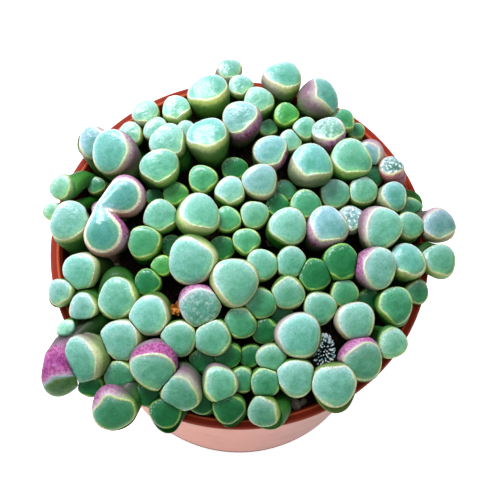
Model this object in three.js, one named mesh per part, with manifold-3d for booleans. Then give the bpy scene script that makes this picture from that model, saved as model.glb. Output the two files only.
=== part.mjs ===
// Potted baby toes (Fenestraria rhopalophylla): a clump of club-shaped window leaves in a round pot.
// Millimetres, +Z up. The origin is the centre of the pot's flat base, and -Y is the front.

import * as THREE from 'three';
import { mergeVertices } from 'three/addons/utils/BufferGeometryUtils.js';
import Module from 'manifold-3d';

const wasm = await Module();
wasm.setup();

// Pot: one moulding with a flanged lip, a tapered wall and a flat floor with drainage holes.
const POT_HEIGHT = 75;
const LIP_RADIUS = 52.5;
const LIP_WIDTH = 2.3;
const LIP_THICKNESS = 1.7;
const BASE_RADIUS = 41.7;
const WALL = 1.2;
const FLOOR = 1.6;
const POT_SIDES = 36;
const DRAIN_RADIUS = 4;
const DRAIN_RING = 26;
const DRAIN_COUNT = 8;

// Soil: fills the pot to SOIL_DROP under the lip and rises a little to its middle.
const SOIL_DROP = 9;
const SOIL_DOME = 1.5;
const SOIL_SIDES = 24;
const CLEARANCE = 0.3;
const HOLE_SIDES = 5;

// Leaves: how high the heads stand over the lip in the middle of the clump and at its edge.
const LIFT_MIDDLE = 13;
const LIFT_EDGE = 6;
const CLUMP_RADIUS = 50;
const SHAFT_SHARE = 0.56;
const HEAD_SWELL = 1.13;
const LEAF_GAP = 0.5;
const SQUEEZE_SHARPNESS = 9;

// Middle lines: each is followed in equal steps, and crowded lines are eased apart.
const LINE_STEPS = 10;
const LINE_PULL = 0.38;
const EASE_PASSES = 90;

// Crowns: each rosette's leaves join at a short crown that stands in a plain hole in the soil.
const CROWN_COUNT = 44;
const CROWN_DEPTH = 4;
const CROWN_SPREAD = 3;
const CROWN_FROM_WALL = 7;
const CROWN_SPACING = 10;
const CROWN_RELAXATIONS = 12;

// The viewpoint from which the heads' places were read: a point above the lip, and the
// place in a picture 500 wide and high where a line of sight meets the middle of each head.
const VIEW_ELEVATION = THREE.MathUtils.degToRad(66.6);
const VIEW_ROLL = THREE.MathUtils.degToRad(1.74);
const VIEW_DISTANCE = 300;
const VIEW_FOCAL = 1086;
const VIEW_MIDDLE = 250;
const VIEW_TARGET = new THREE.Vector3(2.8, -2.0, POT_HEIGHT);

const toView = new THREE.Vector3(0, -Math.cos(VIEW_ELEVATION), Math.sin(VIEW_ELEVATION));
const viewRight = new THREE.Vector3(1, 0, 0).applyAxisAngle(toView, VIEW_ROLL);
const viewUp = new THREE.Vector3().crossVectors(toView, viewRight);
const viewPoint = VIEW_TARGET.clone().addScaledVector(toView, VIEW_DISTANCE);

// One row a leaf: across and down in the picture, the head's width in mm, how far in mm it
// stands over or under its neighbours, and, where it isn't the usual lean, the head's lean to
// the right and up as seen.
const LEAVES = [
  // Back edge and the rows behind the middle
  [229.6, 71.7, 7.0, -1], [240.8, 87.7, 6.8, 0], [209.7, 97, 11.4, 2, -0.12, 0.40],
  [282, 82, 10.8, 2, 0.05, 0.35], [317, 100, 11.2, 2, 0.40, 0.35], [146.7, 114.8, 7.5, 0],
  [177, 111, 8.0, 0], [258.4, 102.8, 8.2, 0], [157, 131, 7.0, -1], [131, 135.5, 7.0, -2],
  [186.5, 132.3, 6.0, -2], [208.9, 140.3, 11.2, 2, -0.14, 0.40], [241.8, 121.2, 10.4, 2, -0.1, 0.25],
  [285.9, 116, 6.8, -1], [305, 130, 6.6, -1], [268.3, 128.9, 5.0, -6], [289.7, 142.3, 6.5, -3],
  [342, 122, 6.8, -1], [355.5, 132, 5.0, -5], [329, 134.5, 9.0, 1, 0, 0.3],
  [270.6, 153.3, 9.2, 1], [310.5, 167, 11.4, 3, 0, 0.28], [350, 160.5, 11.0, 2, 0.1, 0.12],
  [370, 155, 8.0, -3], [371, 175, 7.0, -6], [390.5, 170, 6.8, 0],
  // Left side
  [95.7, 143.5, 9.0, 0], [115.6, 153, 12.0, 2, -0.3, 0.1], [169, 143.5, 10.0, -1],
  [160.8, 168.5, 10.2, 2], [203, 180, 7.6, -1], [234.6, 170.5, 7.0, -4], [230.3, 191.8, 7.8, -1],
  [259.8, 182.5, 9.4, 0], [285, 191.7, 6.0, -6], [175.7, 194.5, 6.6, -3], [154.6, 197, 5.0, -7],
  [63.8, 188, 7.0, 0, -0.4, 0], [97, 186.5, 5.0, -7], [53, 212, 5.0, -3],
  [71.7, 223.2, 11.0, 1, -0.17, 0.2], [161, 217.5, 9.0, -1], [197.5, 216, 11.0, 2, 0.14, 0.25],
  [228, 220.2, 6.8, -2], [254.5, 215.5, 7.4, -2], [144.9, 243, 8.8, -1], [172.8, 246.3, 6.0, -6],
  [222.7, 248.5, 6.5, -4], [246.4, 241.9, 7.0, -2], [162.3, 266.2, 5.5, -3],
  [193.7, 260, 12.4, 3, -0.2, -0.08], [82.9, 271, 9.6, 0, -0.35, 0], [148, 283, 7.0, -3],
  [62.2, 292.5, 7.0, 0, -0.3, 0.1], [85, 308.6, 7.8, 0], [120, 299.2, 10.6, 1],
  [150.5, 316, 10.2, 1], [94, 328, 6.0, -6], [71, 333.6, 7.2, 0, -0.25, 0.1],
  [122.3, 339.5, 10.4, 1], [87, 358.2, 12.0, 2, -0.33, -0.08], [60.6, 376, 9.6, -1, -0.1, -0.45],
  [120.8, 375, 8.4, -1], [90.9, 384, 6.5, -5], [114, 407, 10.8, 0, -0.12, -0.2],
  [154.6, 366, 11.6, 3, 0, -0.1], [149, 392.3, 7.4, -3], [166.3, 411, 8.0, -1],
  [181.5, 389, 10.4, 1, 0, -0.2], [201, 400, 7.0, -4],
  // Middle and front
  [234.1, 282.2, 12.0, 3, 0.07, 0.07], [199.8, 305, 10.4, 2, 0, -0.1], [179.6, 337.5, 9.0, 0],
  [213.2, 337.5, 9.2, 0], [240, 322.6, 8.2, -1], [203, 360.3, 7.0, -4], [228, 355, 7.0, -3],
  [250, 355.3, 6.0, -4], [219.8, 383.8, 8.8, 1], [241, 379.5, 6.6, -2], [228.5, 406.5, 8.0, -1],
  [262, 265.4, 8.2, -1], [259.5, 303.5, 8.2, -1], [281, 314.8, 6.0, -6], [265.2, 330.5, 6.8, -3],
  [298, 335.2, 11.2, 2], [271.8, 357.8, 7.6, -1], [295.3, 376.8, 9.6, 0], [333.5, 383.8, 11.0, 2],
  [265.6, 382.2, 7.8, -1], [264.4, 410, 8.0, -1, -0.15, -0.3],
  // Right side
  [277.6, 206.6, 6.6, -4], [305, 205.8, 8.2, -1], [287.8, 226.9, 9.8, 0], [326.5, 228, 10.6, 1],
  [350.5, 220.8, 7.6, -2], [334.7, 194.8, 8.0, -2], [362.3, 191.8, 7.8, -1], [391.5, 197.7, 8.0, 0],
  [410, 209.5, 6.4, -4], [408.5, 226.5, 7.4, 0], [379, 228, 11.2, 2, 0.2, 0.05],
  [437, 226, 9.2, 0, 0.3, 0.05], [291, 263, 8.2, -1], [314.5, 275, 8.6, -1], [340.1, 263, 9.8, 0],
  [374.5, 268, 10.8, 2, 0.17, 0], [406.5, 263.5, 9.6, 1, 0.04, 0.35], [438, 262, 9.0, 0, 0.15, 0.3],
  [415.8, 291.5, 6.4, -5], [287.5, 293, 8.6, -1], [343.3, 293, 7.4, -2], [367.2, 299.4, 6.6, -5],
  [393.5, 305, 9.4, 0], [319.5, 308.2, 8.4, -1], [354.4, 321.7, 10.0, 1],
  [390.3, 342.5, 8.0, 0, 0.3, -0.05], [360, 358.4, 10.8, 1, 0.2, -0.12],
];

// Two leaves that grew together into one heart: its upper lobe, its lower lobe and the part
// that joins them behind the cleft.
const HEART_LOBES = [
  [126, 195.5, 11.4, 3, -0.1, 0.1], [105.5, 233.5, 12.2, 3, -0.15, 0], [98.5, 210.5, 6.4, 3, -0.15, 0.05],
];

// Two smaller guests among the leaves: a dried floret on its stalk, and a low spiky cushion.
const FLORET = { across: 176, down: 310.5, lift: 8.5, width: 3.8, stalk: 0.55, petals: 9 };
const CUSHION = { across: 326, down: 344, lift: -2, width: 3.8, length: 8, spikes: 40, spike: 1.6 };

const GUEST_DEPTH = 3;

const UPRIGHT = new THREE.Vector3(0, 0, 1);
const mix = (a, b, share) => a + (b - a) * share;

// A small fixed-seed generator, so that every build draws the same numbers.
let seed = 20;
function draw() {
  seed = (seed * 1664525 + 1013904223) % 4294967296;
  return seed / 4294967296;
}

// The point at a given height where the line of sight through a picture place passes.
function sightPoint(across, down, height) {
  const ray = toView.clone().multiplyScalar(-VIEW_FOCAL);
  ray.addScaledVector(viewRight, across - VIEW_MIDDLE);
  ray.addScaledVector(viewUp, VIEW_MIDDLE - down);
  return viewPoint.clone().addScaledVector(ray, (height - viewPoint.z) / ray.z);
}

const LIP_INNER = LIP_RADIUS - LIP_WIDTH;
const UNDER_LIP = POT_HEIGHT - LIP_THICKNESS;
const outward = (point) => Math.hypot(point.x, point.y);
const soilTop = (radius) => POT_HEIGHT - SOIL_DROP + SOIL_DOME * (1 - (radius / LIP_RADIUS) ** 2);
const wallOuter = (height) => mix(BASE_RADIUS, LIP_INNER + 0.1, height / UNDER_LIP);
const wallInner = (height) => (height > UNDER_LIP
  ? mix(wallOuter(UNDER_LIP) - WALL, LIP_INNER, (height - UNDER_LIP) / LIP_THICKNESS)
  : wallOuter(height) - WALL);

// How far over the lip's top a ball must ride so that it only touches the lip.
function liftOverLip(point, radius) {
  const inside = Math.max(0, LIP_INNER - outward(point));
  return inside < radius ? Math.sqrt(radius ** 2 - inside ** 2) : -Infinity;
}

// The middle of a leaf's head: the clump is a low dome, and a head at the lip rides over it.
function headPoint(across, down, radius, rise) {
  let point = sightPoint(across, down, POT_HEIGHT);
  for (let pass = 0; pass < 5; pass += 1) {
    const lift = mix(LIFT_MIDDLE, LIFT_EDGE, (outward(point) / CLUMP_RADIUS) ** 2) + rise;
    const height = Math.max(lift, liftOverLip(point, radius + LEAF_GAP));
    point = sightPoint(across, down, POT_HEIGHT + height);
  }
  return point;
}

// Where a head points: leaves splay out from the middle of the clump, and more to the front.
function headAxis(head, across, down, leanRight, leanUp) {
  const right = leanRight ?? 0.30 * (across - 245) / 190;
  const up = leanUp ?? 0.10 + 0.30 * (255 - down) / 175;
  const axis = viewPoint.clone().sub(head).normalize();
  axis.multiplyScalar(Math.sqrt(1 - right * right - up * up));
  return axis.addScaledVector(viewRight, right).addScaledVector(viewUp, up).normalize();
}

function makeLeaf([across, down, width, rise, leanRight, leanUp]) {
  const radius = HEAD_SWELL * width / 2;
  const head = headPoint(across, down, radius, rise);
  const axis = headAxis(head, across, down, leanRight, leanUp);
  const reach = (head.z - soilTop(outward(head))) / Math.max(axis.z, 0.7);
  const root = head.clone().addScaledVector(axis, -reach);
  return { radius, head, axis, root, corner: draw() * Math.PI * 2 };
}

function spaceCrowns(crowns, limit) {
  for (let pass = 0; pass < 10; pass += 1) {
    crowns.forEach((crown, index) => {
      for (const other of crowns.slice(index + 1)) {
        const distance = Math.hypot(crown.x - other.x, crown.y - other.y);
        const push = Math.max(0, CROWN_SPACING - distance) / 2 / distance;
        const [x, y] = [(crown.x - other.x) * push, (crown.y - other.y) * push];
        crown.x += x;
        crown.y += y;
        other.x -= x;
        other.y -= y;
      }
    });
    for (const crown of crowns) {
      const held = Math.min(1, limit / outward(crown));
      crown.x *= held;
      crown.y *= held;
    }
  }
}

// Crowns start on a sunflower spiral and settle in the middle of the leaves nearest to them.
function settleCrowns(leaves) {
  const limit = wallInner(POT_HEIGHT - SOIL_DROP) - CROWN_FROM_WALL;
  let crowns = [];
  for (let i = 0; i < CROWN_COUNT; i += 1) {
    const radius = limit * Math.sqrt((i + 0.5) / CROWN_COUNT);
    const angle = i * Math.PI * (3 - Math.sqrt(5));
    crowns.push({ x: radius * Math.cos(angle), y: radius * Math.sin(angle), leaves: [] });
  }
  for (let pass = 0; pass < CROWN_RELAXATIONS; pass += 1) {
    crowns.forEach((crown) => { crown.leaves = []; });
    for (const leaf of leaves) {
      const distance = (crown) => Math.hypot(crown.x - leaf.root.x, crown.y - leaf.root.y);
      crowns.reduce((near, crown) => (distance(crown) < distance(near) ? crown : near)).leaves.push(leaf);
    }
    crowns = crowns.filter((crown) => crown.leaves.length > 0);
    for (const crown of crowns) {
      crown.x = crown.leaves.reduce((sum, leaf) => sum + leaf.root.x, 0) / crown.leaves.length;
      crown.y = crown.leaves.reduce((sum, leaf) => sum + leaf.root.y, 0) / crown.leaves.length;
    }
    spaceCrowns(crowns, limit);
  }
  return crowns;
}

// A leaf's middle line leaves its crown upright and bends until it arrives at the head. One whose
// head is at the lip or over it bends round the lip's inner edge.
function middleCurve(leaf, foot) {
  if (outward(leaf.head) < LIP_INNER - leaf.radius * 0.4) {
    const pull = foot.distanceTo(leaf.head) * LINE_PULL;
    const rising = foot.clone().addScaledVector(UPRIGHT, pull);
    const arriving = leaf.head.clone().addScaledVector(leaf.axis, -pull);
    return new THREE.CubicBezierCurve3(foot, rising, arriving, leaf.head);
  }
  const bend = leaf.head.clone().multiplyScalar((LIP_INNER - 3) / outward(leaf.head));
  bend.z = POT_HEIGHT + leaf.radius * 0.75;
  leaf.bends = bend.distanceTo(leaf.head) > 1.2 * leaf.radius;
  return new THREE.CubicBezierCurve3(foot, new THREE.Vector3(foot.x, foot.y, bend.z), bend, leaf.head);
}

function drawMiddleLine(leaf, crown) {
  const side = new THREE.Vector3(leaf.root.x - crown.x, leaf.root.y - crown.y, 0);
  if (side.length() > CROWN_SPREAD) side.setLength(CROWN_SPREAD);
  const foot = new THREE.Vector3(crown.x, crown.y, crown.ground - CROWN_DEPTH + 1).add(side);
  const curve = middleCurve(leaf, foot);
  leaf.line = [];
  for (let step = 0; step <= LINE_STEPS; step += 1) {
    const share = step / LINE_STEPS;
    const swell = mix(SHAFT_SHARE, 1, share ** 1.6);
    const home = curve.getPoint(share);
    leaf.line.push({ home, point: home.clone(), shift: new THREE.Vector3(), radius: leaf.radius * swell });
  }
}

// Shafts that run through each other are eased apart, most in their middles and not at all at
// their ends, and those by the pot are eased off its wall and over its lip.
function easeApart(leaves) {
  const give = (step) => Math.sin(Math.PI * step / LINE_STEPS) ** 0.7;
  const push = new THREE.Vector3();
  for (let pass = 0; pass < EASE_PASSES; pass += 1) {
    leaves.forEach((leaf, index) => {
      for (const other of leaves.slice(index + 1)) {
        if (leaf.head.distanceTo(other.head) > 40) continue;
        for (let i = 1; i <= LINE_STEPS; i += 1) {
          for (let j = 1; j <= LINE_STEPS; j += 1) {
            const wanted = leaf.line[i].radius + other.line[j].radius + LEAF_GAP;
            push.copy(leaf.line[i].point).sub(other.line[j].point);
            const distance = push.length();
            if (distance >= wanted) continue;
            push.multiplyScalar(0.2 * (wanted - distance) / distance);
            leaf.line[i].shift.addScaledVector(push, leaf.fixed ? 0 : give(i));
            other.line[j].shift.addScaledVector(push, other.fixed ? 0 : -give(j));
          }
        }
      }
    });
    leaves.filter((leaf) => !leaf.fixed).forEach(settleLine);
  }
}

function settleLine(leaf) {
  const shifts = leaf.line.map((place) => place.shift.clone());
  for (let i = 1; i < LINE_STEPS; i += 1) {
    const place = leaf.line[i];
    place.shift.lerp(shifts[i - 1].add(shifts[i + 1]).multiplyScalar(0.5), 0.4);
    place.point.copy(place.home).add(place.shift);
    const inside = place.point.z < POT_HEIGHT + CLEARANCE;
    const room = wallInner(place.point.z) - place.radius - LEAF_GAP;
    const inward = Math.min(1, room / outward(place.point)) - 1;
    const over = POT_HEIGHT + liftOverLip(place.point, place.radius + LEAF_GAP) - place.point.z;
    if (inside) place.shift.add(new THREE.Vector3(place.point.x * inward, place.point.y * inward, 0));
    else if (over > 0) place.shift.z += Math.min(over, 1);
    const high = place.point.z - leaf.head.z + (LINE_STEPS - i) * 0.4;
    if (high > 0) place.shift.z -= high;
    place.point.copy(place.home).add(place.shift);
    shifts[i].copy(place.shift);
  }
}

function lineAt(leaf, share) {
  const place = Math.min(share * LINE_STEPS, LINE_STEPS - 1e-9);
  const from = leaf.line[Math.floor(place)];
  const to = leaf.line[Math.floor(place) + 1];
  const part = place - Math.floor(place);
  return {
    point: from.point.clone().lerp(to.point, part),
    along: to.point.clone().sub(from.point).normalize(),
    radius: mix(from.radius, to.radius, part),
  };
}

// How far a point lies from a leaf's middle line, counted in that leaf's radii there.
function radiiAway(point, leaf) {
  let least = Infinity;
  for (let i = 0; i < LINE_STEPS; i += 1) {
    const from = leaf.line[i];
    const to = leaf.line[i + 1];
    const span = to.point.clone().sub(from.point);
    const part = THREE.MathUtils.clamp(point.clone().sub(from.point).dot(span) / span.lengthSq(), 0, 1);
    const away = point.distanceTo(from.point.clone().addScaledVector(span, part));
    least = Math.min(least, away / mix(from.radius, to.radius, part));
  }
  return least;
}

// Whether the pot is in a point's way from the middle it belongs to.
const inPot = (point, centre) => point.z < POT_HEIGHT + CLEARANCE && (outward(centre) > LIP_RADIUS
  ? outward(point) < LIP_RADIUS + CLEARANCE
  : outward(point) > wallInner(point.z) - CLEARANCE);

// Leaves that grow against each other flatten: a point stays on its own leaf's side of the
// surface that is equally many radii from both, less the gap between the skins.
function squeeze(centre, offset, radius, neighbours) {
  const reach = (share) => centre.clone().addScaledVector(offset, share);
  const size = offset.length() / radius;
  const tests = neighbours.map((other) => (share) => (
    share * size + LEAF_GAP / (radius + other.radius) <= radiiAway(reach(share), other)));
  tests.push((share) => !inPot(reach(share), centre));
  let hold = 1;
  for (const free of tests) {
    if (free(1)) continue;
    let low = 0.05;
    let high = 1;
    for (let pass = 0; pass < 9; pass += 1) {
      const middle = (low + high) / 2;
      if (free(middle)) low = middle;
      else high = middle;
    }
    hold += low ** -SQUEEZE_SHARPNESS - 1;
  }
  return offset.clone().multiplyScalar(hold ** (-1 / SQUEEZE_SHARPNESS));
}

// Rings of a leaf's skin: on the shaft by share of the middle line, on the head by the
// height over the head's middle and the width there, both in radii.
const SHAFT_RINGS = [0, 0.35, 0.7, 1];
const BENT_SHAFT_RINGS = [0, 0.25, 0.5, 0.75, 1];
const HEAD_RINGS = [[0.42, 0.88], [0.66, 0.6]];
const WINDOW_TOP = 0.78;

// A leaf's solid, or with its skin grown outwards the room that it needs.
function leafSolid(leaf, leaves, grown = 0) {
  const sides = 5 + (leaf.radius > 3.6) + (leaf.radius > 5.4);
  const shaftRings = leaf.bends ? BENT_SHAFT_RINGS : SHAFT_RINGS;
  const joined = (other) => leaf.heart && other.heart && (leaf.bridge || other.bridge);
  const near = leaves.filter((other) => other !== leaf && !joined(other)
    && other.head.distanceTo(leaf.head) < 3.5 * (other.radius + leaf.radius));
  const vertices = [];
  const faces = [];
  const addRing = (centre, along, radius, width, above) => {
    const u = new THREE.Vector3(1, 0, 0).addScaledVector(along, -along.x).normalize();
    const v = new THREE.Vector3().crossVectors(along, u);
    for (let i = 0; i < sides; i += 1) {
      const angle = i * Math.PI * 2 / sides;
      const outline = radius * width * (1 + 0.05 * Math.cos(3 * angle - leaf.corner));
      const offset = u.clone().multiplyScalar(Math.cos(angle) * outline);
      offset.addScaledVector(v, Math.sin(angle) * outline).addScaledVector(along, above * radius);
      const skin = squeeze(centre, offset, radius, near);
      vertices.push(skin.setLength(skin.length() + grown).add(centre));
    }
  };
  for (const share of shaftRings) {
    const { point, along, radius } = lineAt(leaf, share);
    addRing(point, share ? along.lerp(leaf.axis, share ** 2).normalize() : UPRIGHT, radius, 1, 0);
  }
  for (const [above, width] of HEAD_RINGS) addRing(leaf.head, leaf.axis, leaf.radius, width, above);
  const rings = shaftRings.length + HEAD_RINGS.length;
  for (let ring = 0; ring + 1 < rings; ring += 1) {
    for (let i = 0; i < sides; i += 1) {
      const a = ring * sides + i;
      const b = ring * sides + (i + 1) % sides;
      faces.push(a, b, b + sides, a, b + sides, a + sides);
    }
  }
  const bottom = vertices.push(leaf.line[0].point.clone()) - 1;
  const middle = leaf.axis.clone().multiplyScalar(WINDOW_TOP * leaf.radius);
  const rise = squeeze(leaf.head, middle, leaf.radius, near);
  const top = vertices.push(rise.setLength(rise.length() + grown).add(leaf.head)) - 1;
  for (let i = 0; i < sides; i += 1) {
    const next = (i + 1) % sides;
    faces.push(bottom, next, i, top, (rings - 1) * sides + i, (rings - 1) * sides + next);
  }
  return toManifold(vertices.flatMap((vertex) => vertex.toArray()), faces);
}

function toManifold(positions, faces) {
  return new wasm.Manifold(new wasm.Mesh({
    numProp: 3,
    vertProperties: new Float32Array(positions),
    triVerts: new Uint32Array(faces),
  }));
}

function solidOf(geometry) {
  geometry.deleteAttribute('normal');
  geometry.deleteAttribute('uv');
  const merged = mergeVertices(geometry, 1e-4);
  return toManifold(merged.attributes.position.array, merged.index.array);
}

function geometryOf(manifold) {
  const mesh = manifold.getMesh();
  const geometry = new THREE.BufferGeometry();
  const positions = new Float32Array(mesh.numVert * 3);
  for (let i = 0; i < mesh.numVert; i += 1) {
    for (let k = 0; k < 3; k += 1) positions[3 * i + k] = mesh.vertProperties[mesh.numProp * i + k];
  }
  geometry.setAttribute('position', new THREE.BufferAttribute(positions, 3));
  geometry.setIndex(new THREE.BufferAttribute(mesh.triVerts, 1));
  geometry.computeVertexNormals();
  return geometry;
}

const plant = new THREE.Group();
function addMesh(name, manifold, color, roughness) {
  const material = new THREE.MeshStandardMaterial({ color, roughness, metalness: 0 });
  const mesh = new THREE.Mesh(geometryOf(manifold), material);
  mesh.name = name;
  plant.add(mesh);
}

// A turned solid from (radius, height) points that start and end on the axis.
function turned(points, sides) {
  const geometry = new THREE.LatheGeometry(points.map(([r, z]) => new THREE.Vector2(r, z)), sides);
  geometry.rotateX(Math.PI / 2);
  return solidOf(geometry);
}

function upright(radius, low, high, sides, x, y) {
  const geometry = new THREE.CylinderGeometry(radius, radius, high - low, sides);
  geometry.rotateX(Math.PI / 2);
  geometry.translate(x, y, (low + high) / 2);
  return solidOf(geometry);
}

function makePot() {
  const profile = [
    [0, 0], [BASE_RADIUS - 1, 0], [BASE_RADIUS, 1], [wallOuter(UNDER_LIP), UNDER_LIP],
    [LIP_RADIUS - 0.3, UNDER_LIP + 0.1], [LIP_RADIUS, POT_HEIGHT - 0.5], [LIP_RADIUS - 0.5, POT_HEIGHT],
    [LIP_INNER, POT_HEIGHT], [wallInner(UNDER_LIP), UNDER_LIP],
    [wallInner(FLOOR), FLOOR + 0.5], [wallInner(FLOOR) - 1, FLOOR], [0, FLOOR],
  ];
  let pot = turned(profile, POT_SIDES);
  for (let i = 0; i < DRAIN_COUNT; i += 1) {
    const angle = (i + 0.5) * 2 * Math.PI / DRAIN_COUNT;
    const [x, y] = [DRAIN_RING * Math.cos(angle), DRAIN_RING * Math.sin(angle)];
    pot = pot.subtract(upright(DRAIN_RADIUS, -1, FLOOR + 1, 8, x, y));
  }
  return pot;
}

function makeSoil(holes) {
  const inner = (height) => wallInner(height) - CLEARANCE;
  const low = FLOOR + CLEARANCE;
  const edge = inner(POT_HEIGHT - SOIL_DROP);
  const profile = [[0, low], [inner(low) - 1.2, low], [inner(low + 1), low + 1], [edge, soilTop(edge)],
    [edge * 0.6, soilTop(edge * 0.6)], [0, soilTop(0)]];
  return mainPiece(holes.reduce((soil, hole) => soil.subtract(hole), turned(profile, SOIL_SIDES)));
}

// A guest's middle line runs straight up from the soil, and the leaves ease off it.
function makeGuest({ across, down, lift }, depth, width, topWidth) {
  const head = sightPoint(across, down, POT_HEIGHT + lift);
  const foot = new THREE.Vector3(head.x, head.y, soilTop(outward(head)) - depth);
  const line = [];
  for (let step = 0; step <= LINE_STEPS; step += 1) {
    const radius = (step > LINE_STEPS - 3 ? topWidth : width) / 2;
    line.push({ point: foot.clone().lerp(head, step / LINE_STEPS), shift: new THREE.Vector3(), radius });
  }
  return { fixed: true, radius: topWidth / 2, head, foot, line, axis: UPRIGHT };
}

const leaves = LEAVES.map(makeLeaf);
const heart = HEART_LOBES.map(makeLeaf);
const heartRoot = heart[0].root.clone().add(heart[1].root).multiplyScalar(0.5);
heart.forEach((lobe, index) => {
  lobe.heart = true;
  lobe.bridge = index === 2;
  lobe.root.lerp(heartRoot, 0.8);
});
leaves.push(...heart);

const crowns = settleCrowns(leaves);
crowns.forEach((crown, index) => {
  crown.name = `rosette_${String(index + 1).padStart(2, '0')}`;
  crown.ground = soilTop(outward(crown));
  crown.leaves.forEach((leaf) => drawMiddleLine(leaf, crown));
});
const floret = makeGuest(FLORET, GUEST_DEPTH, FLORET.stalk * 2 + 0.8, FLORET.width + 1);
const cushionWidth = CUSHION.width + 2 * CUSHION.spike;
const cushionEnds = [-7, 7].map((down) => makeGuest(
  { ...CUSHION, down: CUSHION.down + down }, GUEST_DEPTH, cushionWidth, cushionWidth));
const growth = [...leaves, floret, ...cushionEnds];
easeApart(growth);

// The parts of a rosette: the crown, cut wherever a leaf needs the room, and its leaves.
function rosetteParts(crown) {
  const away = (place) => Math.hypot(place.x - crown.x, place.y - crown.y);
  const wanted = Math.max(...crown.leaves.map(({ line }) => away(line[0].point) + line[0].radius + 0.3));
  const nearest = Math.min(...crowns.filter((other) => other !== crown).map(away));
  const radius = Math.min(wanted, nearest / 2 - CLEARANCE);
  const low = crown.ground - CROWN_DEPTH;
  const base = upright(radius, low, crown.ground - 1, 6, crown.x, crown.y);
  const leafParts = crown.leaves.map((leaf) => {
    const solid = leafSolid(leaf, growth);
    return { crown, solid, size: solid.volume(), room: () => leafSolid(leaf, growth, CLEARANCE + 0.1) };
  });
  return [{ crown, solid: base, size: Infinity }, ...leafParts];
}

const mainPiece = (solid) => solid.decompose().reduce((a, b) => (b.volume() > a.volume() ? b : a));
const touching = (one, other) => one.intersect(other).volume() > 1e-6;

// Where parts of different plants still touch, the larger one gives way.
function giveWay(parts, potRoom) {
  for (const part of parts.filter(({ solid }) => touching(solid, potRoom))) {
    part.solid = mainPiece(part.solid.subtract(potRoom));
  }
  for (let pass = 0; pass < 2; pass += 1) {
    parts.forEach((part, index) => {
      for (const other of parts.slice(index + 1)) {
        if (part.crown === other.crown || !touching(part.solid, other.solid)) continue;
        const [small, large] = part.size < other.size ? [part, other] : [other, part];
        large.solid = mainPiece(large.solid.subtract(small.room()).subtract(small.solid));
      }
    });
  }
}

// A plain hole in the soil, wide enough for all of a rosette that is under the ground.
function soilHole(crown, rosette, depth) {
  const mesh = rosette.getMesh();
  const corner = (index) => {
    const first = index * mesh.numProp;
    return new THREE.Vector3(...mesh.vertProperties.slice(first, first + 3));
  };
  const away = (point) => Math.hypot(point.x - crown.x, point.y - crown.y);
  const surface = crown.ground + 0.8;
  let reach = 0;
  for (let i = 0; i < mesh.triVerts.length; i += 1) {
    const next = i % 3 === 2 ? i - 2 : i + 1;
    const [low, high] = [corner(mesh.triVerts[i]), corner(mesh.triVerts[next])].sort((a, b) => a.z - b.z);
    if (low.z > surface) continue;
    if (high.z > surface) high.lerp(low, (high.z - surface) / (high.z - low.z));
    reach = Math.max(reach, away(low), away(high));
  }
  const radius = (reach + CLEARANCE) / Math.cos(Math.PI / HOLE_SIDES);
  return upright(radius, crown.ground - depth - CLEARANCE, crown.ground + 6, HOLE_SIDES, crown.x, crown.y);
}

// A dried flower head: a stalk and a ring of shrivelled petals that droop from its top.
function makeFloret() {
  const { x, y } = floret.head;
  const top = floret.head.z;
  let head = upright(FLORET.stalk, floret.foot.z, top, 6, x, y);
  const middle = new THREE.SphereGeometry(FLORET.width * 0.3, 7, 5);
  middle.translate(x, y, top);
  head = head.add(solidOf(middle));
  for (let i = 0; i < FLORET.petals; i += 1) {
    const petal = new THREE.ConeGeometry(0.55, FLORET.width * 0.5, 4);
    petal.translate(0, FLORET.width * 0.25, 0);
    petal.rotateX(Math.PI / 2 - mix(-0.3, 0.9, draw()));
    petal.rotateZ(i * 2 * Math.PI / FLORET.petals);
    petal.translate(x, y, top + 0.4);
    head = head.add(solidOf(petal));
  }
  return head;
}

// A low cushion of short spikes that stand out all round it, on a sunflower spiral.
function makeCushion() {
  const middle = cushionEnds[0].foot.clone().add(cushionEnds[1].foot).multiplyScalar(0.5);
  const half = new THREE.Vector3(CUSHION.width / 2, CUSHION.length / 2, cushionEnds[0].head.z - middle.z);
  const body = new THREE.SphereGeometry(1, 9, 6);
  body.rotateX(Math.PI / 2);
  body.scale(...half);
  body.translate(...middle);
  const below = new THREE.BoxGeometry(20, 20, 20);
  below.translate(middle.x, middle.y, middle.z - 10);
  let cushion = solidOf(body).subtract(solidOf(below));
  for (let i = 0; i < CUSHION.spikes; i += 1) {
    const up = mix(0.25, 0.98, (i + 0.5) / CUSHION.spikes);
    const turn = i * Math.PI * (3 - Math.sqrt(5));
    const flat = Math.sqrt(1 - up * up);
    const normal = new THREE.Vector3(flat * Math.cos(turn), flat * Math.sin(turn), up);
    const seat = normal.clone().multiply(half).multiplyScalar(0.86).add(middle);
    const spike = new THREE.ConeGeometry(0.36, CUSHION.spike * 1.2, 3);
    spike.translate(0, CUSHION.spike * 0.6, 0);
    spike.applyQuaternion(new THREE.Quaternion().setFromUnitVectors(new THREE.Vector3(0, 1, 0), normal));
    spike.translate(...seat);
    cushion = cushion.add(solidOf(spike));
  }
  return cushion;
}

// The pot's wall and lip with the clearance round them.
function makePotRoom() {
  const low = POT_HEIGHT - SOIL_DROP - 10;
  const ring = [[LIP_RADIUS + CLEARANCE, low], [LIP_RADIUS + CLEARANCE, POT_HEIGHT + CLEARANCE],
    [LIP_INNER - CLEARANCE, POT_HEIGHT + CLEARANCE], [wallInner(UNDER_LIP) - CLEARANCE, UNDER_LIP],
    [wallInner(low) - CLEARANCE, low]];
  return turned([...ring, ring[0]], POT_SIDES);
}

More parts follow.
